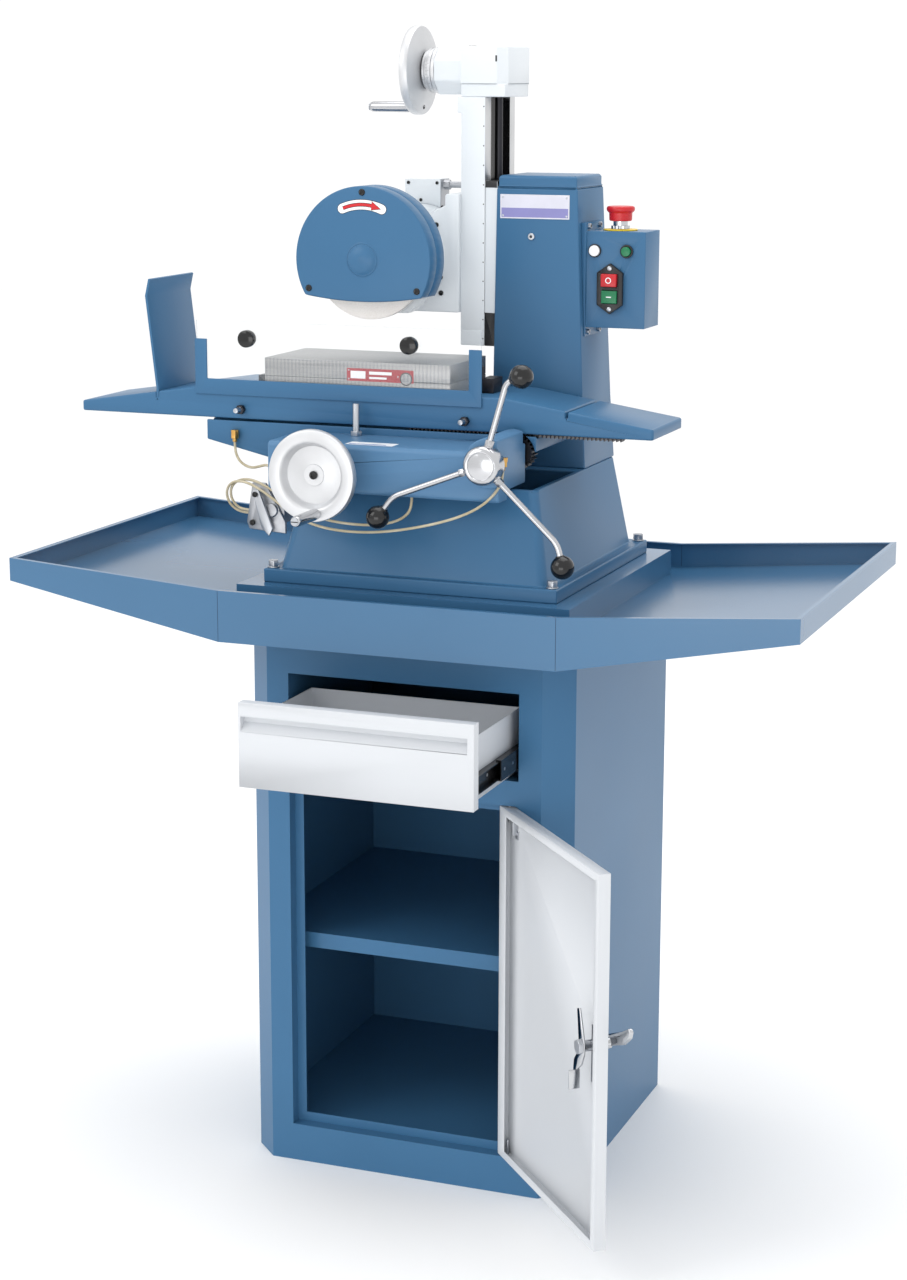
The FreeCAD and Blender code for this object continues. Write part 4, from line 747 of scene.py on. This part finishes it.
arms = bmesh.new()
balls = bmesh.new()
for knee, end in ARMS:
    knee, end = Vector(knee), Vector(end)
    into, out = knee.normalized(), (end - knee).normalized()
    before, after = knee - into * KNEE_REACH, knee + out * KNEE_REACH
    path = [into * ARM_START, before]
    for k in range(1, KNEE_STEPS):
        t = k / KNEE_STEPS
        path.append((1 - t) ** 2 * before + 2 * t * (1 - t) * knee + t * t * after)
    path += [after, end]
    sweep(arms, [on_capstan(p) for p in path], ARM_RADIUS)
    rings(arms, NUT, on_capstan(into * NUT_START), (into.x, 0, into.y), 36)
    rings(balls, BALL, on_capstan(end), (out.x, 0, out.y), 64)
piece("capstan_arms", arms, "satin_rod", "capstan")
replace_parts(piece("capstan_balls", balls, "black", "capstan"), "capstan_knobs")

# ======================= wheel and guard =======================
DISC = [
    (15.9, 0), (88.6, 0), (89.6, 0.4), (90, 1.4), (90, 11.6), (89.6, 12.6), (88.6, 13), (15.9, 13),
    (15.9, 0)
]
wheel = rings(bmesh.new(), DISC, (WHEEL_X, -83, WHEEL_Z), BACK, 144, False)
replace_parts(piece("abrasive_wheel", wheel, "abrasive", "spindle"), "grinding_wheel")

LABEL_FROM, LABEL_TO = 67, 113             # degrees round the spindle
ARC_STEPS, END_STEPS, ARROW_STEPS = 28, 8, 16


def on_guard(bm, outline, y, thick):
    """Lay an outline, drawn round the spindle's axis, on the front of the guard."""
    return plate(bm, outline, (WHEEL_X, y, WHEEL_Z), RIGHT, UP, thick)


def arc(radius, start, stop, steps):
    """Points of an arc, start and stop in degrees."""
    angles = (math.radians(start + (stop - start) * i / steps) for i in range(steps + 1))
    return [(radius * math.cos(a), radius * math.sin(a)) for a in angles]


def band(inner, outer):
    """Outline of a curved band with round ends."""
    middle, half = (inner + outer) / 2, (outer - inner) / 2

    def round_end(degrees, turn):
        a = math.radians(degrees)
        angles = (a + turn + math.pi * k / END_STEPS for k in range(1, END_STEPS))
        return [(middle * math.cos(a) + half * math.cos(b), middle * math.sin(a) + half * math.sin(b))
                for b in angles]

    return (arc(outer, LABEL_FROM, LABEL_TO, ARC_STEPS) + round_end(LABEL_TO, 0)
            + arc(inner, LABEL_TO, LABEL_FROM, ARC_STEPS) + round_end(LABEL_FROM, math.pi))


def arrow(grow):
    """Outline of a curved arrow that shows which way the wheel turns, made wider by grow all round."""
    head = ((87 + grow, 79.5 + grow * 0.2), (80.6, 68.5 - grow), (75.2 - grow, 78.5 + grow * 0.2))
    return (arc(83 + grow, 112, 79, ARROW_STEPS)
            + [(r * math.cos(math.radians(a)), r * math.sin(math.radians(a))) for r, a in head]
            + arc(79 - grow, 79, 112, ARROW_STEPS))


label = on_guard(bmesh.new(), band(74, 88), GUARD_FRONT, 0.35)
piece("guard_label", label, "print_white", "wheel_head")
rim = on_guard(bmesh.new(), band(73.2, 88.8), GUARD_FRONT, 0.2)
piece("guard_label_rim", rim, "black_matt", "wheel_head")
edge = on_guard(bmesh.new(), arrow(0.9), GUARD_FRONT - 0.35, 0.15)
piece("guard_arrow_edge", edge, "black_matt", "wheel_head")
red = on_guard(bmesh.new(), arrow(0.0), GUARD_FRONT - 0.5, 0.15)
piece("guard_arrow", red, "print_red", "wheel_head")

screws = bmesh.new()
for x, z in ((WHEEL_X, 1479), (-206, 1336), (-32, 1336)):
    cap_screw(screws, (x, GUARD_FRONT, z), FRONT, 5.0, 1.6)
for x, z in ((-142, 1484), (-94, 1484), (-85, 1447), (-121, 1457.5)):
    cap_screw(screws, (x, 131, z), FRONT, 2.6, 1.2)
for x, z in ((-60, 1425), (-53, 1346), (-52, 1322)):
    cap_screw(screws, (x, 41, z), FRONT, 4.0, 2.0)
piece("head_screws", screws, "black", "wheel_head")

# ======================= chuck =======================
chuck = bmesh.new()
slab(chuck, (-269, CHUCK_FRONT, 1188), (31, 16, 1204.6), 0.7)
slab(chuck, (-269, CHUCK_FRONT, 1205), (31, 16, 1232), 0.9)
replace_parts(piece("chuck_block", chuck, "laminated", "work_table"), "magnetic_chuck")

notch = [(SWITCH_X + x, SWITCH_Z + z) for x, z in arc(10, 216.9, -36.9, 18)]
outline = [(-134, 1222), (-134, 1203)] + notch + [(-27, 1203), (-27, 1222)]
label = plate(bmesh.new(), outline, (0, CHUCK_FRONT, 0), RIGHT, UP, 0.2)
piece("chuck_label", label, "plate_red", "work_table")
ring = rings(bmesh.new(), [(8.2, 0), (8.2, 0.25), (9.8, 0.25), (9.8, 0), (8.2, 0)],
             (SWITCH_X, CHUCK_FRONT, SWITCH_Z), FRONT, 56, False)
piece("chuck_switch_ring", ring, "black_matt", "work_table")
blocks = bmesh.new()
for x0, x1, z0, z1 in ((-128, -104, 1207, 1218), (-98, -62, 1213.5, 1218), (-98, -70, 1207, 1210)):
    slab(blocks, (x0, CHUCK_FRONT - 0.25, z0), (x1, CHUCK_FRONT - 0.1, z1))
piece("chuck_label_blocks", blocks, "print_white", "work_table")
rivets = bmesh.new()
for x, z in ((-131, 1219), (-131, 1206), (-52, 1212)):
    rings(rivets, [(TIP, 0), (1.4, 0), (1.2, 0.25), (TIP, 0.28)], (x, CHUCK_FRONT, z), FRONT, 20)
piece("chuck_label_rivets", rivets, "zinc", "work_table")

# ======================= shield =======================
sheet = slab(bmesh.new(), (-381, -136.7, 1188.4), (80, -134.3, 1285), 0.3)
sheet = piece("shield_sheet", sheet, "clear", "shield")
sheet.data.materials.append(M["clear_edge"])
for polygon in sheet.data.polygons:
    if abs(polygon.normal.y) < 0.5:
        polygon.material_index = 1
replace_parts(sheet, "clear_shield")
KNOB = [(TIP, 0), (11.6, 0), (12.6, 0.6), (13, 2), (13, 10), (12.2, 13.4), (11, 14.2), (TIP, 14.2)]
knobs = bmesh.new()
for x in (-293, -30):
    rings(knobs, KNOB, (x, -151, 1260), BACK, 56)
piece("shield_knobs", knobs, "black", "shield")

# ======================= control box =======================
def on_lens(c):
    return c.y < 60.9 and math.hypot(c.x - 187, c.z - 1391) < 8.2


def on_collar(c):
    return c.z > BOX_TOP - 0.1


soften("control_fittings", "black_matt", 0.8, [("lens", on_lens), ("yellow", on_collar)])
stop_base = (STOP_X, STOP_Y, BOX_TOP)
MUSHROOM = [
    (TIP, 14), (15.4, 14), (16.8, 14.8), (17.2, 16.4), (17.6, 26), (20.4, 28.6), (21.2, 30), (21.4, 33),
    (20.6, 35), (18.6, 36), (15.5, 35.6), (TIP, 35.2)
]
cap = rings(bmesh.new(), MUSHROOM, stop_base, UP, 80)
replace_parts(piece("stop_cap", cap, "red", "stop_mushroom"), "emergency_stop")
stem = rings(bmesh.new(), [(TIP, -10), (11, -10), (11, 14.2), (TIP, 14.2)], stop_base, UP, 48)
piece("stop_stem", stem, "chrome", "stop_mushroom")
soften("start_button", "green", 1.0)
soften("stop_button", "red", 1.0)
soften("reset_button", "green", 0.7)


def fluted(a):
    return 13.6 + 0.7 * math.cos(14 * a)


neck = rings(bmesh.new(), [(12.2, 0), (fluted, 0.6), (fluted, 5), (12.2, 5.4)],
             (STOP_X, STOP_Y, BOX_TOP + 2), UP, 168)
piece("stop_neck", neck, "chrome", "stand")
mark = rings(bmesh.new(), [(3.2, 0), (3.2, 0.3), (4.6, 0.3), (4.6, 0), (3.2, 0)],
             (BUTTON_X, 51, 1348), FRONT, 48, False)
piece("stop_mark", mark, "print_white", "stop_key")
mark = slab(bmesh.new(), (BUTTON_X - 4, 53.7, 1322.2), (BUTTON_X + 4, 54.1, 1323.8))
piece("start_mark", mark, "print_white", "start_key")
screws = bmesh.new()
for z in (1304.5, 1365.5):
    rings(screws, [(TIP, 0), (3.6, 0), (3.4, 0.9), (2.2, 1.5), (TIP, 1.6)], (BUTTON_X, 57, z), FRONT, 32)
for y, z in ((72, 1427), (124, 1427), (72, 1268.5), (124, 1268.5)):
    cap_screw(screws, (174, y, z), RIGHT, 4.2, 4.0)
piece("box_screws", screws, "zinc", "stand")

# ======================= column plates =======================
sign = slab(bmesh.new(), (42, 45.4, 1437), (152, 46.2, 1473), 0.2, 1)
piece("name_plate", sign, "plate_silver", "stand")
upper = slab(bmesh.new(), (44, 45.25, 1453), (150, 45.5, 1471))
piece("name_plate_upper", upper, "print_pale", "stand")
lower = slab(bmesh.new(), (44, 45.25, 1439), (150, 45.5, 1453))
piece("name_plate_lower", lower, "print_violet", "stand")
PLUG_X, PLUG_Z = 92, 1410.6
rivets = bmesh.new()
for x in (46.5, 147.5):
    for z in (1441.5, 1468.5):
        rings(rivets, [(TIP, 0), (1.7, 0), (1.5, 0.5), (TIP, 0.8)], (x, 45.3, z), FRONT, 24)
rings(rivets, [(TIP, 0), (5.2, 0), (5.2, 1.6), (4.6, 2.2), (TIP, 2.4)], (PLUG_X, 46, PLUG_Z), FRONT, 40)
piece("column_rivets", rivets, "zinc", "stand")
SET_SCREWS, SET_SCREW_PITCH = 13, 29
dots = bmesh.new()
for i in range(SET_SCREWS):
    z = 1254 + SET_SCREW_PITCH * i
    rings(dots, [(TIP, -0.5), (1.0, -0.5), (1.0, 0.15), (TIP, 0.15)], (13.6, 49, z), FRONT, 20)
slab(dots, (31.5, 48.8, 1668), (34.0, 49.2, 1677))
piece("slide_set_screws", dots, "black_matt", "wheel_head")
socket = rings(bmesh.new(), [(TIP, 0), (2.4, 0), (2.4, 0.1), (TIP, 0.1)], (PLUG_X, 43.6, PLUG_Z), FRONT, 6)
piece("plug_socket", socket, "black_matt", "stand")

# ======================= tray seams and drawer details =======================
seams = bmesh.new()
for x in (-262, 262):
    slab(seams, (x - 0.35, -322.08, 833), (x + 0.35, -321.5, 908.5))
    slab(seams, (x - 0.35, 308.9, 871), (x + 0.35, 309.5, 907))
piece("tray_seams", seams, "blue_dark", "stand")
scoop = bmesh.new()
plate(scoop, [(-427, 729.1), (-413, 729.1), (-413, 741)], (-177, 0, 0), BACK, UP, 347)
piece("drawer_scoop", scoop, "white_sheet", "drawer_box")
holes = bmesh.new()
for y in (-392, -344):
    rings(holes, [(TIP, 0), (2.4, 0), (2.4, 0.15), (TIP, 0.15)], (169.4, y, RAIL_HOLE_Z), RIGHT, 28)
piece("inner_rail_holes", holes, "zinc", "drawer_box")
holes = bmesh.new()
for y in (-303, -268):
    rings(holes, [(TIP, 0), (2.4, 0), (2.4, 0.1), (TIP, 0.1)], (181, y, RAIL_HOLE_Z), RIGHT, 28)
piece("mid_rail_holes", holes, "zinc", "drawer_mid")

# ======================= apron label =======================
label = slab(bmesh.new(), (-92, -240, 1123.9), (-18, -214, 1124.2))
piece("apron_label", label, "print_white", "cross_slide")
stripe = slab(bmesh.new(), (-88, -236, 1124.1), (-30, -232, 1124.3))
piece("apron_label_band", stripe, "print_blue", "cross_slide")

# ======================= floor and light =======================
# An even white studio: bright surroundings, a light floor and three soft area lights.
floor_bm = bmesh.new()
bmesh.ops.create_grid(floor_bm, x_segments=1, y_segments=1, size=14.0)
floor_mesh = bpy.data.meshes.new("floor")
floor_bm.to_mesh(floor_mesh)
floor_bm.free()
floor = bpy.data.objects.new("floor", floor_mesh)
bpy.context.scene.collection.objects.link(floor)
paper = Graph("studio_floor")
paper.colour(paper.noise(1.5), (0.97, 0.97, 0.97, 1), (0.98, 0.98, 0.98, 1))
paper.set(Roughness=0.7)
floor_mesh.materials.append(paper.material)

world = bpy.data.worlds.new("studio")
world.use_nodes = True
background = world.node_tree.nodes["Background"]
background.inputs["Color"].default_value = (1.0, 1.0, 1.0, 1)
background.inputs["Strength"].default_value = 1.05
bpy.context.scene.world = world


def area_light(name, place, aim, size, power):
    data = bpy.data.lights.new(name, "AREA")
    data.shape = "RECTANGLE"
    data.size, data.size_y = size
    data.energy = power
    obj = bpy.data.objects.new(name, data)
    obj.location = place
    obj.rotation_euler = (Vector(aim) - Vector(place)).to_track_quat("-Z", "Y").to_euler()
    bpy.context.scene.collection.objects.link(obj)


area_light("key", (-2.6, -3.0, 3.6), (0, 0, 0.9), (2.4, 2.4), 40)
area_light("front", (0.5, -4.4, 0.8), (0, 0, 0.6), (3.0, 1.5), 30)
area_light("top", (0.2, 0.6, 4.2), (0, 0, 1.0), (3.0, 3.0), 45)
bpy.context.scene.view_settings.view_transform = "Standard"
